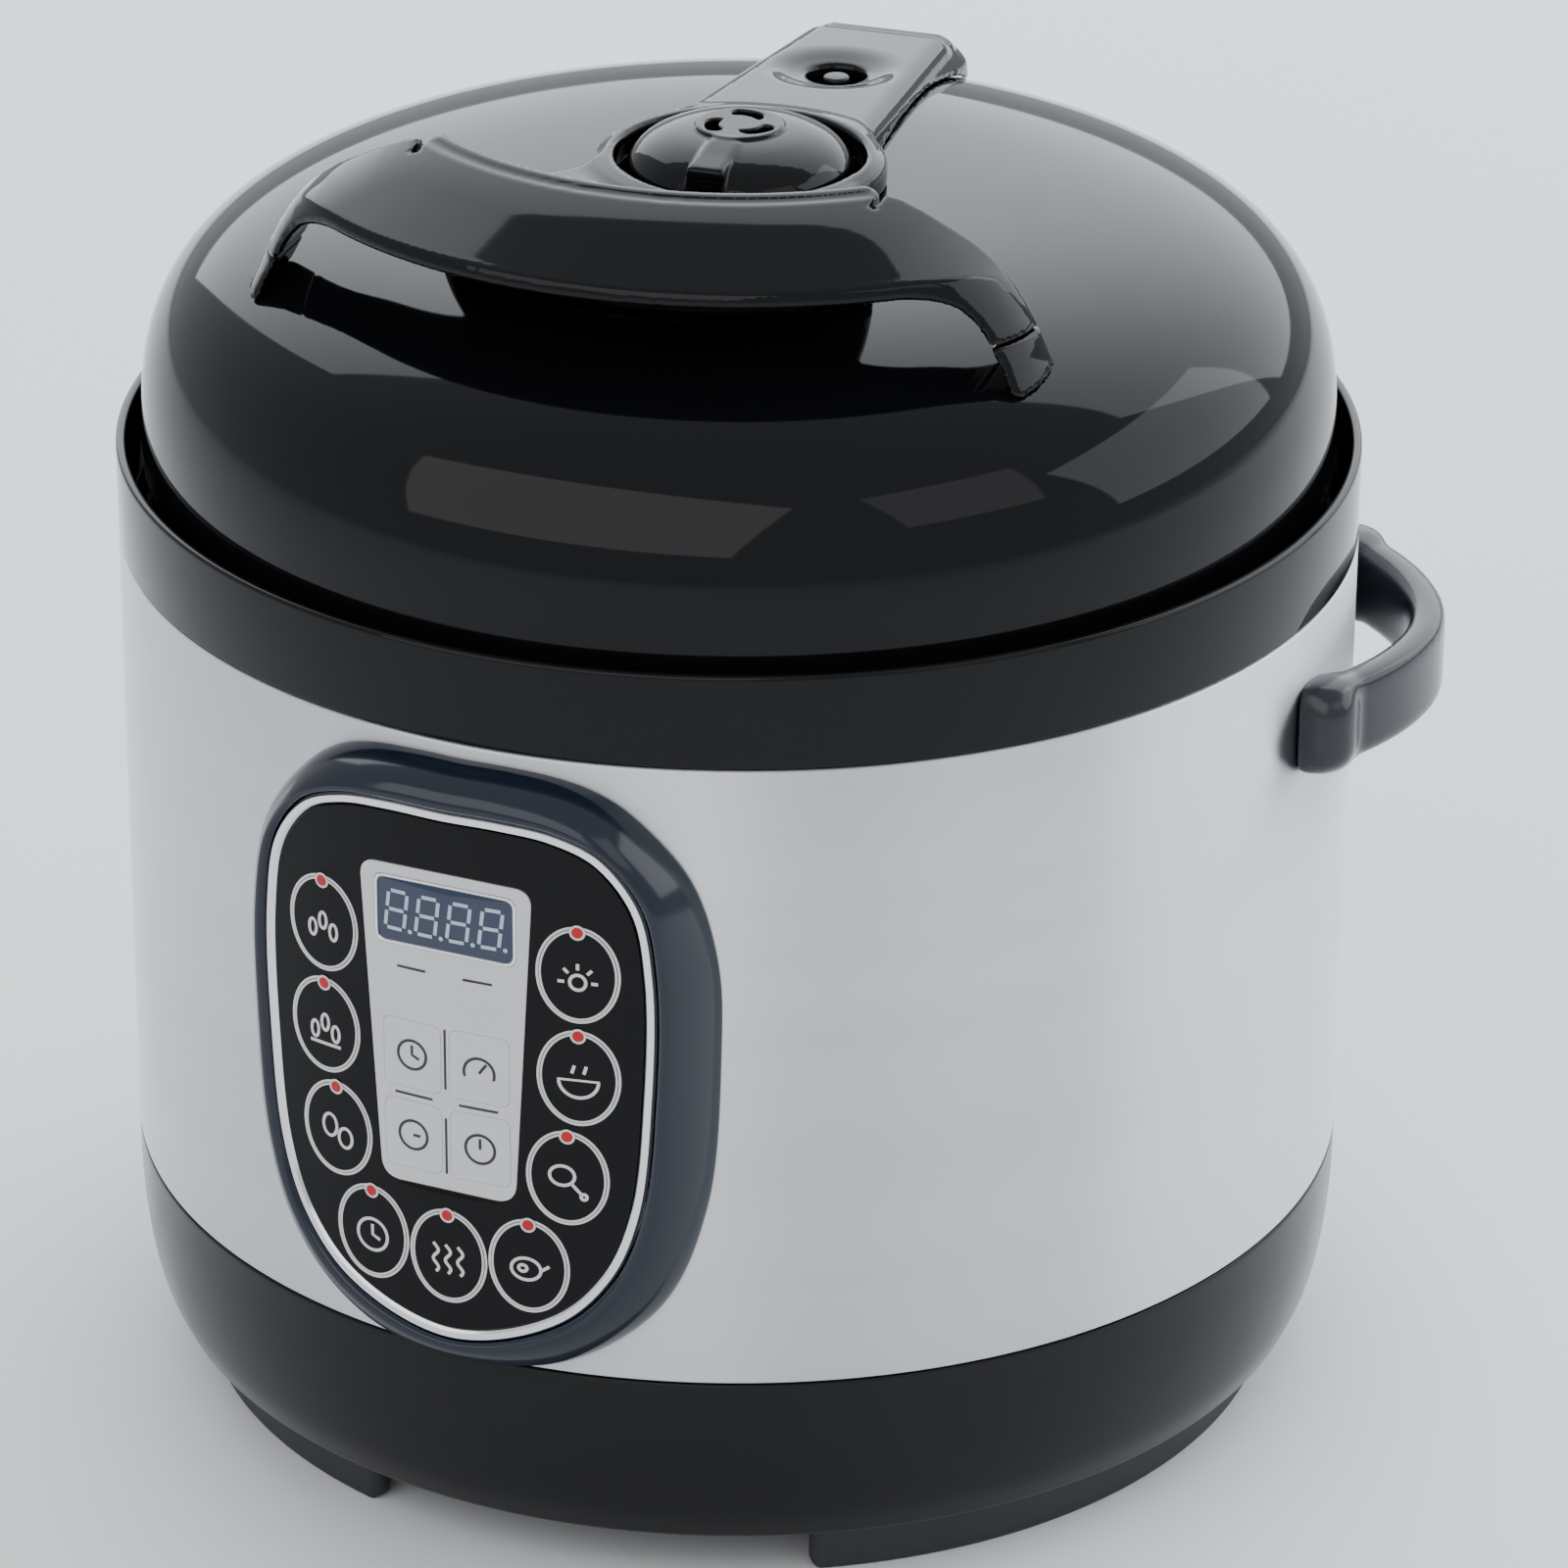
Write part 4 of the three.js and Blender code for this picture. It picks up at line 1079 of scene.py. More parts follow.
    def _card(self, card: Grid) -> None:
        """Grey printed card with openings for the window and the setting keys.

        Args:
            card: The card's edge.
        """
        z, width, height, corner = self.window
        holes = [rounded_box(0, z, width + 0.3, height + 0.3, corner)]
        holes += [rounded_box(s.arc, s.z, self.setting_size[0] + 0.1, self.setting_size[1] + 0.1, 1.65)
                  for s in self.settings]
        face = wrapped(card, holes, PANEL_R, 1.8, 0.05)
        fit(face.make("grey_card"), Body.BASE, CARD_GREY, "card_grey", "display_card")
        marks = Solid()
        for line in ([(0, 97.6), (0, 108.6)], [(0, 82), (0, 92.3)], [(-9.4, 95.2), (-2.4, 95.2)],
                     [(2.4, 95.2), (9.4, 95.2)], [(-8.6, 118.4), (-3.4, 118.4)],
                     [(3.4, 118.4), (8.6, 118.4)]):
            marks.join(self._stroke(line, PANEL_R, 0.42))
        fit(marks.make("card_lines"), Body.BASE, PRINT_DARK, "satin_black")

    def _display(self) -> None:
        """Dark blue window with a framed edge and four lit digits behind its face."""
        z, width, height, corner = self.window
        lens = wrapped(rounded_box(0, z, width, height, corner), [], PANEL_R - 0.25, 1.5, 0.3)
        fit(lens.make("display_lens"), Body.BASE, LENS_BLUE, "window_blue", "display_window")
        frame_ring = wrapped(rounded_box(0, z, width + 0.2, height + 0.2, corner),
                             [rounded_box(0, z, width - 0.9, height - 0.9, corner - 0.4)], PANEL_R + 0.1,
                             0.5, 0.12)
        fit(frame_ring.make("lens_frame"), Body.BASE, CHROME, "chrome_trim")
        digits = Solid()
        for k in range(4):
            digits.join(self._digit(-8.7 + 5.7 * k, z, 3.5, 6.8))
        fit(digits.make("display_digits"), Body.BASE, SEGMENT_GREY, "card_grey")

    def _digit(self, arc: float, z: float, width: float, height: float) -> Solid:
        """One seven-segment eight, leaning over a little, with its point.

        Args:
            arc: Centre along the panel's curve.
            z: Centre height.
            width: Whole width.
            height: Whole height.

        Returns:
            The digit's strips and its point.
        """
        w, h, lean = width / 2, height / 2, 0.12
        lines = [[(-w, h), (w, h)], [(-w, 0), (w, 0)], [(-w, -h), (w, -h)]]
        lines += [[(s * w, b), (s * w, b + h)] for s in (-1, 1) for b in (-h, 0)]
        solid = Solid()
        for (x0, z0), (x1, z1) in lines:
            a, b = np.array([x0 + z0 * lean, z0]), np.array([x1 + z1 * lean, z1])
            gap = (b - a) / np.linalg.norm(b - a) * 0.42
            solid.join(self._stroke([tuple(a + gap + (arc, z)), tuple(b - gap + (arc, z))], PANEL_R - 0.22,
                                    0.62))
        dot = ellipse(arc + w + 0.75, z - h, 0.8, 0.8, 16)
        return solid.join(wrapped(dot, [], PANEL_R - 0.19, 0.06, 0.02, (9, 9)))

    def _stroke(self, line: Sequence[Pair], r: float, width: float) -> Solid:
        """Printed line of one width that follows the panel's curve.

        Args:
            line: Its points as arc and height.
            r: Radius that it lies on.
            width: Its width.

        Returns:
            The raised line.
        """
        points = np.array(line)
        closed = bool(np.linalg.norm(points[0] - points[-1]) < 1e-6)
        if closed:
            points = points[:-1]
        if len(points) < 3:
            points = np.linspace(points[0], points[-1], 5)
        ahead = np.roll(points, -1, axis=0) - points
        behind = points - np.roll(points, 1, axis=0)
        if not closed:
            ahead[-1], behind[0] = behind[-1], ahead[0]
        along = (ahead / np.linalg.norm(ahead, axis=1)[:, None]
                 + behind / np.linalg.norm(behind, axis=1)[:, None])
        along /= np.linalg.norm(along, axis=1)[:, None]
        side = np.stack([-along[:, 1], along[:, 0]], axis=1) * width / 2
        rings = []
        for p, s in zip(points, side):
            a, b = p + s, p - s
            rings.append([bend(*a, r - 0.02), bend(*a, r + 0.035), bend(*b, r + 0.035), bend(*b, r - 0.02)])
        return lofted(rings, caps=not closed, loop=closed)

    def _print(self, name: str, body: str, spot: KeySpot, r: float, drop: float, size: float, ink: Finish,
               slot: str) -> None:
        """Prints a key's pictogram on it.

        Args:
            name: Name of the printed piece.
            body: Body that it moves with.
            spot: The key.
            r: Radius that it lies on.
            drop: Shift up from the key's centre.
            size: Scale of the pictogram.
            ink: Its finish.
            slot: The record's material slot.
        """
        solid = Solid()
        for line in strokes(spot.mark):
            placed = [(spot.arc + x * size, spot.z + drop + z * size) for x, z in line]
            solid.join(self._stroke(placed, r, 0.5 * size))
        fit(solid.make(name), body, ink, slot)

    def _key(self, spot: KeySpot) -> None:
        """Nearly flush oval key with its printed line and pictogram, and the lamp over its top edge.

        Args:
            spot: The key.
        """
        front = PANEL_R + self.rise
        width, height = self.key_size
        rows = [[bend(*p, PANEL_R - 1.7) for p in ellipse(spot.arc, spot.z, width, height)]]
        for inset, drop in ((0, 0.1), (0.02, 0.04), (0.06, 0.01), (0.5, 0)):
            loop = ellipse(spot.arc, spot.z, width - 2 * inset, height - 2 * inset)
            rows.append([bend(*p, front - drop) for p in loop])
        for share in (0.75, 0.5, 0.25, 0.04):
            loop = ellipse(spot.arc, spot.z, (width - 1) * share, (height - 1) * share)
            rows.append([bend(*p, front) for p in loop])
        cap = lofted(rows)
        fit(cap.make(f"{spot.node}_cap", 50), spot.body, FASCIA_BLACK, "gloss_black", spot.node)
        line = wrapped(ellipse(spot.arc, spot.z, width - 0.1, height - 0.1),
                       [ellipse(spot.arc, spot.z, width - 0.85, height - 0.85)], front + 0.04, 0.12, 0.02)
        fit(line.make(f"{spot.node}_line"), spot.body, PRINT_LIGHT, "card_grey")
        self._print(f"{spot.node}_mark", spot.body, spot, front + 0.03, -0.6, 1.12, PRINT_LIGHT, "card_grey")
        top = spot.z + height / 2 - 0.5
        ring = wrapped(ellipse(spot.arc, top, 2.7, 2.7, 32), [ellipse(spot.arc, top, 1.95, 1.95, 32)],
                       front + 0.16, 0.1, 0.02, (9, 9))
        fit(ring.make(f"{spot.node}_lamp_ring"), Body.BASE, PRINT_LIGHT, "card_grey")
        lamp = wrapped(ellipse(spot.arc, top, 1.95, 1.95, 32), [], front + 0.22, 0.16, 0.08, (9, 9))
        fit(lamp.make(f"{spot.node}_lamp"), Body.BASE, LAMP_RED, "red_silicone")

    def _setting(self, spot: KeySpot) -> None:
        """Flat grey setting key with its pictogram.

        Args:
            spot: The key.
        """
        width, height = self.setting_size
        cap = wrapped(rounded_box(spot.arc, spot.z, width, height, 1.6), [], PANEL_R + 0.02, 1.7, 0.05,
                      (2.5, 3))
        fit(cap.make(f"{spot.node}_cap"), spot.body, CARD_GREY, "card_grey", spot.node)
        self._print(f"{spot.node}_mark", spot.body, spot, PANEL_R + 0.03, 0, 1.0, PRINT_DARK,
                    "satin_black")


# ---------------------------------------------------------------- pot, seal and lid


@dataclass
class PotAndSeal:
    """Cooking pot, sealing ring and the wire rack that holds the ring."""

    radius: float = 78.0
    wall: float = 1.3
    floor: float = 40.0
    rim: float = 159.2
    flange: float = 90.5

    def build(self) -> None:
        """Builds the three pieces."""
        r, inner = self.radius, self.radius - self.wall
        pot = filleted([
            (0, self.floor), (60, self.floor + 0.2, 2), (r, self.floor, 11), (r, self.rim - 1.6, 1.6),
            (self.flange, self.rim - 1.6, 0.7), (self.flange, self.rim, 0.7), (inner, self.rim, 2.4),
            (inner, self.floor + self.wall, 10), (60, self.floor + self.wall + 0.2, 2),
            (0, self.floor + self.wall)], closed=False, steps=8)
        fit(revolved(pot, closed=False).make("cooking_pot", 40), Body.POT, BRIGHT_STEEL, "steel_bright",
            "inner_pot")
        low = self.rim + 0.4
        ring = filleted([(83, low, 0.8), (91, low, 1), (96.4, low + 1.6, 1), (96.8, 164.2, 1),
                         (93.6, 164.2, 0.5),
                         (92.6, 162.4, 0.5), (86.4, 162.4, 0.5), (85.6, 164.2, 0.5), (83, 164.2, 0.8)])
        fit(revolved(ring).make("silicone_ring", 40), Body.SEAL, SILICONE, "clear_silicone", "sealing_ring")
        wire = [(80.2 + 1.1 * math.cos(a),
                 161.4 + 1.1 * math.sin(a)) for a in np.linspace(0, 2 * np.pi, 14)[:-1]]
        fit(revolved(wire).make("rack_wire", 60), Body.SEAL, BRIGHT_STEEL, "steel_bright", "seal_rack")


def dome(x: Grid, y: Grid, z: Grid, clear: float, lid: "Lid") -> Grid:
    """About the signed distance to the lid's dome, grown by clear.

    Args:
        x: Grid of x values.
        y: Grid of y values.
        z: Grid of z values.
        clear: Growth of the dome.
        lid: The lid with its sizes.

    Returns:
        The distance at each point, negative inside.
    """
    u = np.hypot(x, y) / (lid.radius + clear)
    v = np.maximum(z - lid.edge - clear, 0) / (lid.top - lid.edge)
    value = u ** lid.flat + v ** lid.rise - 1
    slope = np.hypot(lid.flat * u ** (lid.flat - 1) / lid.radius,
                     lid.rise * v ** (lid.rise - 1) / (lid.top - lid.edge))
    return value / np.maximum(slope, 0.004)


@dataclass
class Lid:
    """Domed cover, bridge handle with its spine, and the steel inner lid."""

    radius: float = 102.5
    edge: float = 171.8
    top: float = 216.3
    low: float = 167.2
    wall: float = 2.6
    flat: float = 3.783
    rise: float = 3.176
    spine_top: float = 221.0
    spine_half: float = 16.0
    well: float = 21.4
    float_y: float = 53.0
    drop: tuple[float, float, float] = (22.0, 72.0, 3.2)
    split: float = 215.5
    shoulder: float = 44.2
    arch: tuple[Pair, ...] = ((75, 188), (74, 197), (72, 204), (69.2, 210), (66.3, 216), (62.5, 222),
                              (57, 228),
                              (50, 232.5), (45, 235.4), (38, 237.3), (20, 237.6))
    mouth: tuple[Pair, ...] = ((68, 188), (66, 205), (64, 210), (62, 214), (60, 218), (57, 221.6),
                               (51, 225.4),
                               (42, 231), (20, 232))

    def build(self) -> None:
        """Builds the lid's pieces and turns them to the handle's bearing."""
        self._cover()
        self._handle()
        self._inner()

    def _dome(self, shrink: float, steps: int = 60) -> list[Pair]:
        """Profile of the dome from its edge to the crown.

        Args:
            shrink: Distance inside the outer face.
            steps: Spans of the profile.

        Returns:
            The profile as (r, z) points.
        """
        points = []
        for t in (math.pi / 2) * (np.arange(steps + 1) / steps) ** 1.25:
            r = (self.radius - shrink) * max(0.0, math.cos(t)) ** (2 / self.flat)
            z = self.edge + (self.top - self.edge - shrink) * math.sin(t) ** (2 / self.rise)
            points.append((r if t < math.pi / 2 - 1e-9 else 0.0, z))
        return points

    def _cover(self) -> None:
        """Gloss dome with a rolled lower edge."""
        outer, inner = self._dome(0), self._dome(self.wall)[::-1]
        skirt = filleted([(self.radius - self.wall, self.edge), (self.radius - self.wall, self.low, 0.9),
                          (self.radius - 0.2, self.low, 0.9), (self.radius, self.edge)], closed=False)
        cover = revolved([*inner[:-1], *skirt[1:-1], *outer], closed=False,
                         segments=240).make("dome_cover", 40)
        pipe = column(0, 0, 9, 200, 230)
        vent = column(0, self.float_y, 5.6, 200, 230)
        cut(cover, [pipe.make("pipe_cutter"), vent.make("vent_cutter")], 40)
        fit(cover, Body.LID, GLOSS_BLACK, "gloss_black", "lid_cover")

    def _whole(self, x: Grid, y: Grid, z: Grid) -> Grid:
        """Distance to the bridge, web and spine in one, seen with the handle at the front.

        Args:
            x: Grid of x values.
            y: Grid of y values.
            z: Grid of z values.

        Returns:
            The distance at each point, negative inside.
        """
        r, ax = np.hypot(x, y), np.abs(x)
        arch = smooth_path(self.arch, 26)
        mouth = smooth_path(self.mouth, 26)
        top = [(57, 229), (70, 204), (70, 188), (89.4, 188), (88.5, 205), (85.5, 212), (83.5, 219),
               (81.4, 224.8), (80.6, 227.3), (62, 235.9), (58, 236.1), (57, 235.2)]
        under = [(40, 180), (95, 180), (95, 224.6), (78.5, 224.6), (61, 231.4), (40, 231.4)]
        band = meet(region(r, z, top), region(ax, z, [(-20, 188), *arch, (-20, 237.5)]), 5.0)
        band = meet(band, y + self.shoulder, 2.0)
        hollow = meet(region(ax, z, [(-20, 180), (68, 180), *mouth, (-20, 232)]), region(r, z, under), 2.5)
        band = meet(band, -hollow, 1.8)
        groove = meet(np.abs(r - 60.9) - 0.42, 235.25 - z)
        band = meet(band, -groove, 0.3)
        web_top = [(18, 205), (59, 205), (59, 235.7), (57.4, 235.7), (55.5, 233.4), (52, 229.6), (47, 226),
                   (41, 223.4), (35, 221.8), (28, 221), (18, 221)]
        plan = smooth_path([(18, 8), (20.5, -3), (27.5, -18), (34.5, -34), (38.2, -46), (38.6, -54),
                            (38.6, -64)], 16)
        web = meet(region(r, z, web_top), region(ax, -y, [(-5, -8), *[(a, -b) for a, b in plan], (-5, 64)]),
                   2.0)
        start, stop, drop = self.drop
        fall = drop * np.clip((y - start) / (stop - start), 0, 1.3)
        end = [(-4, 200), (-4, 221), (76, 221), (82, 219.4), (86, 215.6), (87.8, 209), (87.6, 200)]
        half = self.spine_half + 3.4 - 6.2 * np.clip(y / 84, 0, 1)
        flank = 1.6 * np.clip((self.spine_top - fall - 3.4 - z) / 2.5, 0, 1)
        spine = meet(region(y, z + fall * np.clip((90 - y) / 10, 0, 1), end), ax - half - flank, 4.2)
        pad = meet(r - 25, np.maximum(z - self.spine_top, 205 - z), 1.6)
        body = join(join(join(band, web, 1.2), spine, 4.0), pad, 2.0)
        notch = meet(meet(np.abs(ax - 39.4) - 0.55, r - 64), meet(232.5 - z, y + 30), 0.3)
        body = meet(body, -notch, 0.4)
        body = meet(body, self.well - r, 1.0)
        rim = meet(np.abs(r - self.well - 1.0) - 0.95, np.maximum(z - self.spine_top - 0.6, 205 - z), 0.9)
        body = join(body, rim, 0.5)
        level = self.spine_top - drop * (self.float_y - start) / (stop - start)
        dish = np.sqrt((x / 11.2) ** 2 + ((y - self.float_y) / 12.6) ** 2 + ((z - level - 1.2) / 3.1) ** 2)
        body = meet(body, -(dish - 1) * 3.1, 0.8)
        body = meet(body, 5.2 - np.hypot(x, y - self.float_y), 0.9)
        return meet(body, -dome(x, y, z, 0.3, self), 0.7)

    def _handle(self) -> None:
        """Handle above the parting line, and its two feet."""
        def above(x: Grid, y: Grid, z: Grid) -> Grid:
            """Handle without its feet."""
            leg = meet(30 - np.abs(x), z - self.split - 0.17)
            return meet(self._whole(x, y, z), -meet(leg, y + 5), 0.5)

        handle = netted(above, (-77, -93, 196), (77, 90, 238.6), cell(0.65)).turn(LID_TURN)
        fit(handle.make("bridge_handle", 50), Body.LID, GLOSS_BLACK, "gloss_black", "lid_handle")
        for side, name in ((1, "right"), (-1, "left")):
            def below(x: Grid, y: Grid, z: Grid) -> Grid:
                """One foot below the parting line."""
                return meet(meet(self._whole(x, y, z), z - self.split + 0.17, 0.5), 30 - side * x)

            box = ((30, -93, 190), (77, -20, 217)) if side > 0 else ((-77, -93, 190), (-30, -20, 217))
            foot = netted(below, *box, cell(0.6)).turn(LID_TURN)
            fit(foot.make(f"bridge_foot_{name}", 50), Body.LID, GLOSS_BLACK, "gloss_black",
                f"handle_foot_{name}")

    def _inner(self) -> None:
        """Pressed steel inner lid with six locking lugs and the holes for the pipe and the float."""
        seat, wall, crown, bottom = 166.4, 1.8, 198.0, 150.2
        section = filleted([
            (4.7, crown), (59, crown, 2.6), (79.6, seat + 3, 5), (82, seat, 2), (99.8, seat, 1.6),
                            (99.8, bottom, 0.4),
            (98, bottom, 0.4), (98, seat - wall, 1), (80.6, seat - wall, 2), (58.2, crown - wall, 0.8),
            (4.7, crown - wall)])
        lid = revolved(section)
        lug = filleted([(93.6, bottom, 0.6), (98.6, bottom, 0.3), (98.6, bottom + 2.4, 0.3),
                        (93.6, bottom + 2.4, 0.6)],
                       steps=3)
        for k in range(6):
            lid.join(sector(lug, 60 * k, 13, 0.9, 16))
        inner = lid.turn(LID_TURN).make("steel_inner_lid", 40)
        a = math.radians(LID_TURN)
        vent = column(-self.float_y * math.sin(a), self.float_y * math.cos(a), 3.4, 185, 205)
        cut(inner, [vent.make("float_cutter")], 40)
        fit(inner, Body.LID, BRIGHT_STEEL, "steel_bright", "inner_lid")


@dataclass
class Valves:
    """Steam release knob with its weight, and the float valve."""

    radius: float = 19.7
    low: float = 216.7
    high: float = 226.8
    wall: float = 1.8

    def build(self) -> None:
        """Builds the knob, the weight and the float."""
        self._knob()
        weight = filleted([(0, 223.8), (7.6, 223.8, 0.8), (7.6, 216.8, 0.5), (4.7, 216.8, 0.4),
                           (4.7, 220.7), (0, 220.7)],
                          closed=False)
        fit(revolved(weight, closed=False, segments=64).make("steam_weight"), Body.WEIGHT, BRIGHT_STEEL,
            "steel_bright",
            "valve_weight")
        pin = filleted([(0, 183.4), (2.4, 183.4, 0.4), (2.4, 188.4), (5, 188.4, 0.5), (5, 190.2, 0.5),
                        (2.4, 190.2),
                        (2.4, 217.2, 0.7), (0, 217.2)], closed=False)
        pin_solid = revolved(pin, closed=False, segments=48).move(0, 53, 0).turn(LID_TURN)
        fit(pin_solid.make("float_pin"), Body.FLOAT, SATIN_BLACK, "satin_black", "float_valve")

    def _knob(self) -> None:
        """Domed cap with a small raised disc, three curved slots and a finger tab towards the front."""
        outer = smooth_path([(0, self.high - 0.55), (7.4, self.high - 0.6), (12.6, self.high - 1.5),
                             (16.6, self.high - 3.4), (18.9, self.high - 6), (self.radius, self.low + 1.2)],
                            26)
        cap = [(-6, self.low), (self.radius - 0.4, self.low), *[(float(r), float(z)) for r, z in outer[::-1]],
               (-6, self.high - 0.55)]
        hollow = [(-6, self.low - 5), (self.radius - 2.3, self.low - 5), (self.radius - 2.0, self.low + 3),
                  (16, self.high - 5), (12.2, self.high - 3.2), (-6, self.high - 2.5)]

        def shape(x: Grid, y: Grid, z: Grid) -> Grid:
            """Distance to the knob, its tab towards the front.

            Args:
                x: Grid of x values.
                y: Grid of y values.
                z: Grid of z values.

            Returns:
                The distance at each point, negative inside.
            """
            r = np.hypot(x, y)
            body = region(r, z, cap)
            disc = meet(r - 7.7, np.abs(z - self.high + 1.5) - 1.5, 0.7)
            body = join(body, disc, 0.3)
            sweep = np.abs(x) - 2.6 - 0.07 * np.clip(-y - 7, 0, 13)
            ridge = meet(meet(sweep, np.maximum(-y - 19.0, y + 7.4), 1.4),
                         np.maximum(z - (self.high - 0.25 + (y + 7.4) * 0.13), self.low + 1 - z), 1.1)
            body = join(body, ridge, 0.9)
            body = meet(body, -region(r, z, hollow), 0.3)
            for k in range(3):
                a = math.radians(60 + 120 * k)
                along = np.arctan2(x * math.cos(a) + y * math.sin(a), x * math.sin(a) - y * math.cos(a)) * r
                curl = np.abs(r - 4.9 - along * 0.16) - 1.15
                slot = meet(meet(curl, np.abs(along) - 3.1, 1.4), self.high - 4.5 - z)
                body = meet(body, -slot, 0.35)
            return body

        knob = netted(shape, (-20.5, -20.5, self.low - 0.8), (20.5, 20.5, self.high + 0.8), cell(0.34))
        knob.turn(LID_TURN)
        fit(knob.make("steam_knob", 50), Body.KNOB, GLOSS_BLACK, "gloss_black", "valve_knob")


# ---------------------------------------------------------------- back of the cooker


@dataclass
class Rear:
    """Condensation cup and mains inlet at the back."""

    cup_half: float = 23.0
    cup: Pair = (100.0, 143.0)
    cup_back: float = 108.2
    cup_front: float = 116.2
    wall: float = 1.6
    inlet_z: float = 62.0
    inlet_size: Pair = (30.0, 24.0)
    inlet_front: float = 112.9

    def build(self) -> None:
        """Builds both."""
        self._cup()
        self._inlet()

    def _cup(self) -> None:
        """Smoky cup, open at the top, with a notch for the drain."""
        low, high = self.cup

        def shape(x: Grid, y: Grid, z: Grid) -> Grid:
            """Distance to the cup.

            Args:
                x: Grid of x values.
                y: Grid of y values.
                z: Grid of z values.

            Returns:
                The distance at each point, negative inside.
            """
            r = np.hypot(x, y)
            plan = meet(meet(np.abs(x) - self.cup_half, self.cup_back - r, 1.2), y - self.cup_front, 5)
            outside = meet(plan, np.maximum(low - z, z - high), 1.4)
            hollow = meet(meet(np.abs(x) - self.cup_half + self.wall, self.cup_back + self.wall - r, 0.8),
                          y - self.cup_front + self.wall, 3.5)
            body = meet(outside, -meet(hollow, low + 2 - z, 1.0), 0.5)
            lip = meet(np.abs(plan) - 0.9, np.abs(z - high + 1.2) - 1.15, 0.6)
            body = meet(join(body, meet(lip, plan), 0.3), -meet(hollow, low + 2 - z, 1.0), 0.4)
            mouth = meet(meet(np.abs(x) - 8, 135.2 - z, 1.5), r - 112)
            return meet(body, -mouth, 0.4)

        cup = netted(shape, (-24.5, 104, low - 1), (24.5, 117.6, high + 1), cell(0.5))
        fit(cup.make("drip_cup", 50), Body.CUP, SMOKE, "smoke", "condensation_cup")

    def _inlet(self) -> None:
        """Flanged inlet with a keyed socket."""
        w, h = self.inlet_size
        front, z0 = self.inlet_front, self.inlet_z
        socket = [(-11, z0 - 7), (11, z0 - 7), (11, z0 + 3), (6.5, z0 + 7), (-6.5, z0 + 7), (-11, z0 + 3)]

        def shape(x: Grid, y: Grid, z: Grid) -> Grid:
            """Distance to the inlet.

            Args:
                x: Grid of x values.
                y: Grid of y values.
                z: Grid of z values.

            Returns:
                The distance at each point, negative inside.
            """
            flange = meet(meet(np.abs(x) - w / 2, np.abs(z - z0) - h / 2, 4), np.abs(y - front + 2.5) - 2.5,
                          1.2)
            neck = meet(meet(np.abs(x) - w / 2 + 2, np.abs(z - z0) - h / 2 + 2, 2),
                        np.abs(y - front + 9.5) - 8.4)
            hole = meet(region(x, z, socket), front - 16 - y)
            rim = meet(np.abs(region(x, z, socket) - 1.4) - 0.6,
                       np.maximum(y - front - 0.05, front - 3 - y), 0.5)
            return join(meet(join(flange, neck), -hole, 0.5), rim, 0.2)

        inlet = netted(shape, (-16, 94, z0 - 13), (16, front + 0.8, z0 + 13), cell(0.55))
        fit(inlet.make("mains_inlet", 50), Body.BASE, SATIN_BLACK, "component", "power_inlet")


@dataclass
class Internals:
    """Plain nodes that keep their own shape and take finished surfaces."""

    finishes: dict[str, Finish] = field(default_factory=lambda: {
        "bottom_cover": SATIN_BLACK, "drain_spout": SATIN_BLACK, "pressure_housing": ALUMINIUM,
        "heating_plate": ALUMINIUM, "heating_element": BRIGHT_STEEL, "thermal_sensor": ALUMINIUM,
        "sensor_holder": COMPONENT, "pressure_switch": COMPONENT, "thermal_fuse": CHROME,
        "power_board": BOARD_GREEN, "power_transformer": COMPONENT, "power_relay": COMPONENT,
        "inlet_pin_left": BRASS, "inlet_pin_right": BRASS, "inlet_pin_earth": BRASS,
        "led_display": COMPONENT, "control_board": BOARD_GREEN, "exhaust_pipe": BRIGHT_STEEL,
        "pipe_nut": BRIGHT_STEEL, "anti_block_cap": BRIGHT_STEEL, "float_seal": SILICONE})

    def build(self) -> None:
        """Dresses each node."""
        for name, finish in self.finishes.items():
            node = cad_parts[name]
            for place in node.material_slots:
                place.material = finish.material()
            log.info("%s keeps its shape", name)


# ---------------------------------------------------------------- studio


@dataclass(frozen=True)
class Softbox:
    """One area light, placed round the object as seen from the camera."""

    name: str
    bearing: float
    elevation: float
    distance: float
    size: Pair
    radiance: float
    colour: Colour = (1.0, 1.0, 1.0)
    target: float = 0.14

    def build(self, azimuth: float) -> None:
        """Adds the light.

        Args:
            azimuth: The camera's azimuth, which bearings are counted from.
        """
        light = bpy.data.lights.new(self.name, "AREA")
        light.shape = "RECTANGLE"
        light.size, light.size_y = self.size
        light.energy = self.radiance * math.pi * self.size[0] * self.size[1]
        light.color = self.colour
        a, e = math.radians(azimuth + self.bearing), math.radians(self.elevation)
        away = Vector((math.sin(a) * math.cos(e), -math.cos(a) * math.cos(e), math.sin(e)))
        holder = bpy.data.objects.new(self.name, light)
        holder.location = away * self.distance + Vector((0, 0, self.target))
        holder.rotation_euler = (-away).to_track_quat("-Z", "Y").to_euler()
        bpy.context.scene.collection.objects.link(holder)


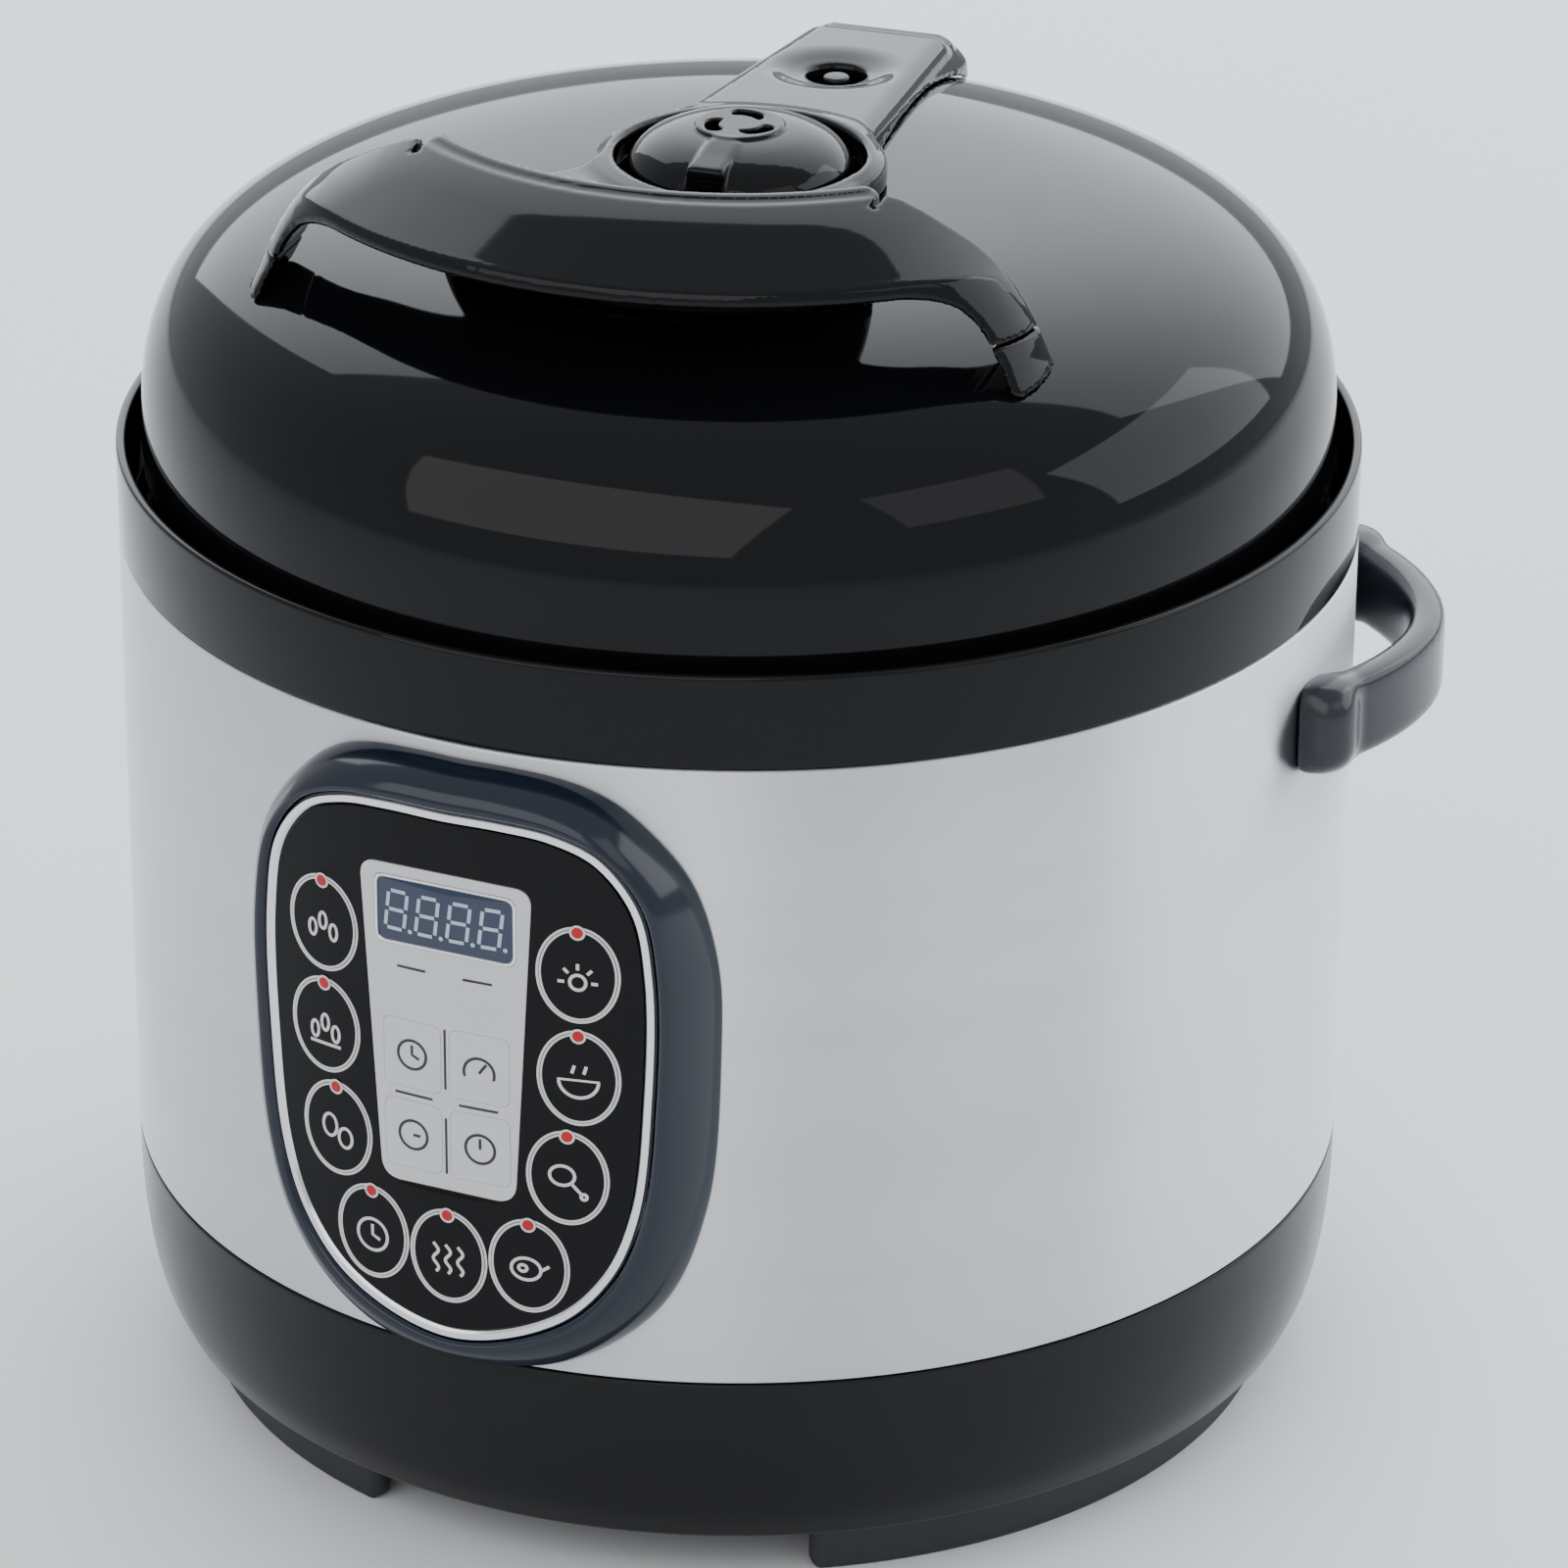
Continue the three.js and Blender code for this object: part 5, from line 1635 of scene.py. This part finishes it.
@dataclass
class Studio:
    """Pale floor, soft light and the camera."""

    azimuth: float = 24.4
    distance: float = 1.16095
    height: float = 0.6524
    pitch: float = 25.315
    yaw: float = 0.397
    roll: float = 0.319
    lens: float = 167.41
    boxes: tuple[Softbox, ...] = (
        Softbox("sky", 168, 38, 1.9, (3.8, 2.1), 2.7, (0.9, 0.95, 1.0)),
        Softbox("right_wall", 96, 24, 1.7, (1.5, 1.0), 2.3, (0.94, 0.97, 1.0)),
        Softbox("left_front", -32, 33, 1.8, (2.2, 1.3), 1.5),
        Softbox("right_front", 46, 36, 1.9, (0.9, 0.8), 0.9))

    def build(self) -> None:
        """Sets the stage."""
        floor = lofted([[Vector((x * 4000, y * 4000, z)) for x, y in ((-1, -1), (1, -1), (1, 1), (-1, 1))]
                        for z in (-20.0, -0.02)]).make("studio_floor")
        dress(floor, FLOOR)
        for box in self.boxes:
            box.build(self.azimuth)
        world = bpy.data.worlds.new("studio")
        world.use_nodes = True
        sky = world.node_tree.nodes["Background"]
        sky.inputs["Color"].default_value = (0.94, 0.96, 1.0, 1.0)
        sky.inputs["Strength"].default_value = 0.8
        bpy.context.scene.world = world
        self._camera()

    def _camera(self) -> None:
        """Long-lens camera at the reference viewing angle."""
        pitch, yaw, roll = (math.radians(a) for a in (self.pitch, self.yaw, self.roll))
        ahead = Vector((math.sin(yaw) * math.cos(pitch), math.cos(yaw) * math.cos(pitch), -math.sin(pitch)))
        flat_right = ahead.cross(Vector((0, 0, 1))).normalized()
        flat_up = flat_right.cross(ahead)
        right = math.cos(roll) * flat_right + math.sin(roll) * flat_up
        up = -math.sin(roll) * flat_right + math.cos(roll) * flat_up
        turn = Matrix((right, up, -ahead)).transposed().to_4x4()
        spin = Matrix.Rotation(math.radians(self.azimuth), 4, "Z")
        data = bpy.data.cameras.new("camera")
        data.sensor_width = 36.0
        data.lens = self.lens
        data.clip_start = 0.05
        camera = bpy.data.objects.new("camera", data)
        camera.matrix_world = spin @ Matrix.Translation((0, -self.distance, self.height)) @ turn
        bpy.context.scene.collection.objects.link(camera)
        bpy.context.scene.camera = camera


def main() -> None:
    """Builds the cooker and its studio."""
    logging.basicConfig(level=logging.INFO, format="%(message)s")
    Base().build()
    SideHandle(1).build()
    SideHandle(-1).build()
    ControlPanel().build()
    PotAndSeal().build()
    Lid().build()
    Valves().build()
    Rear().build()
    Internals().build()
    Studio().build()


if __name__ == "__main__":
    main()
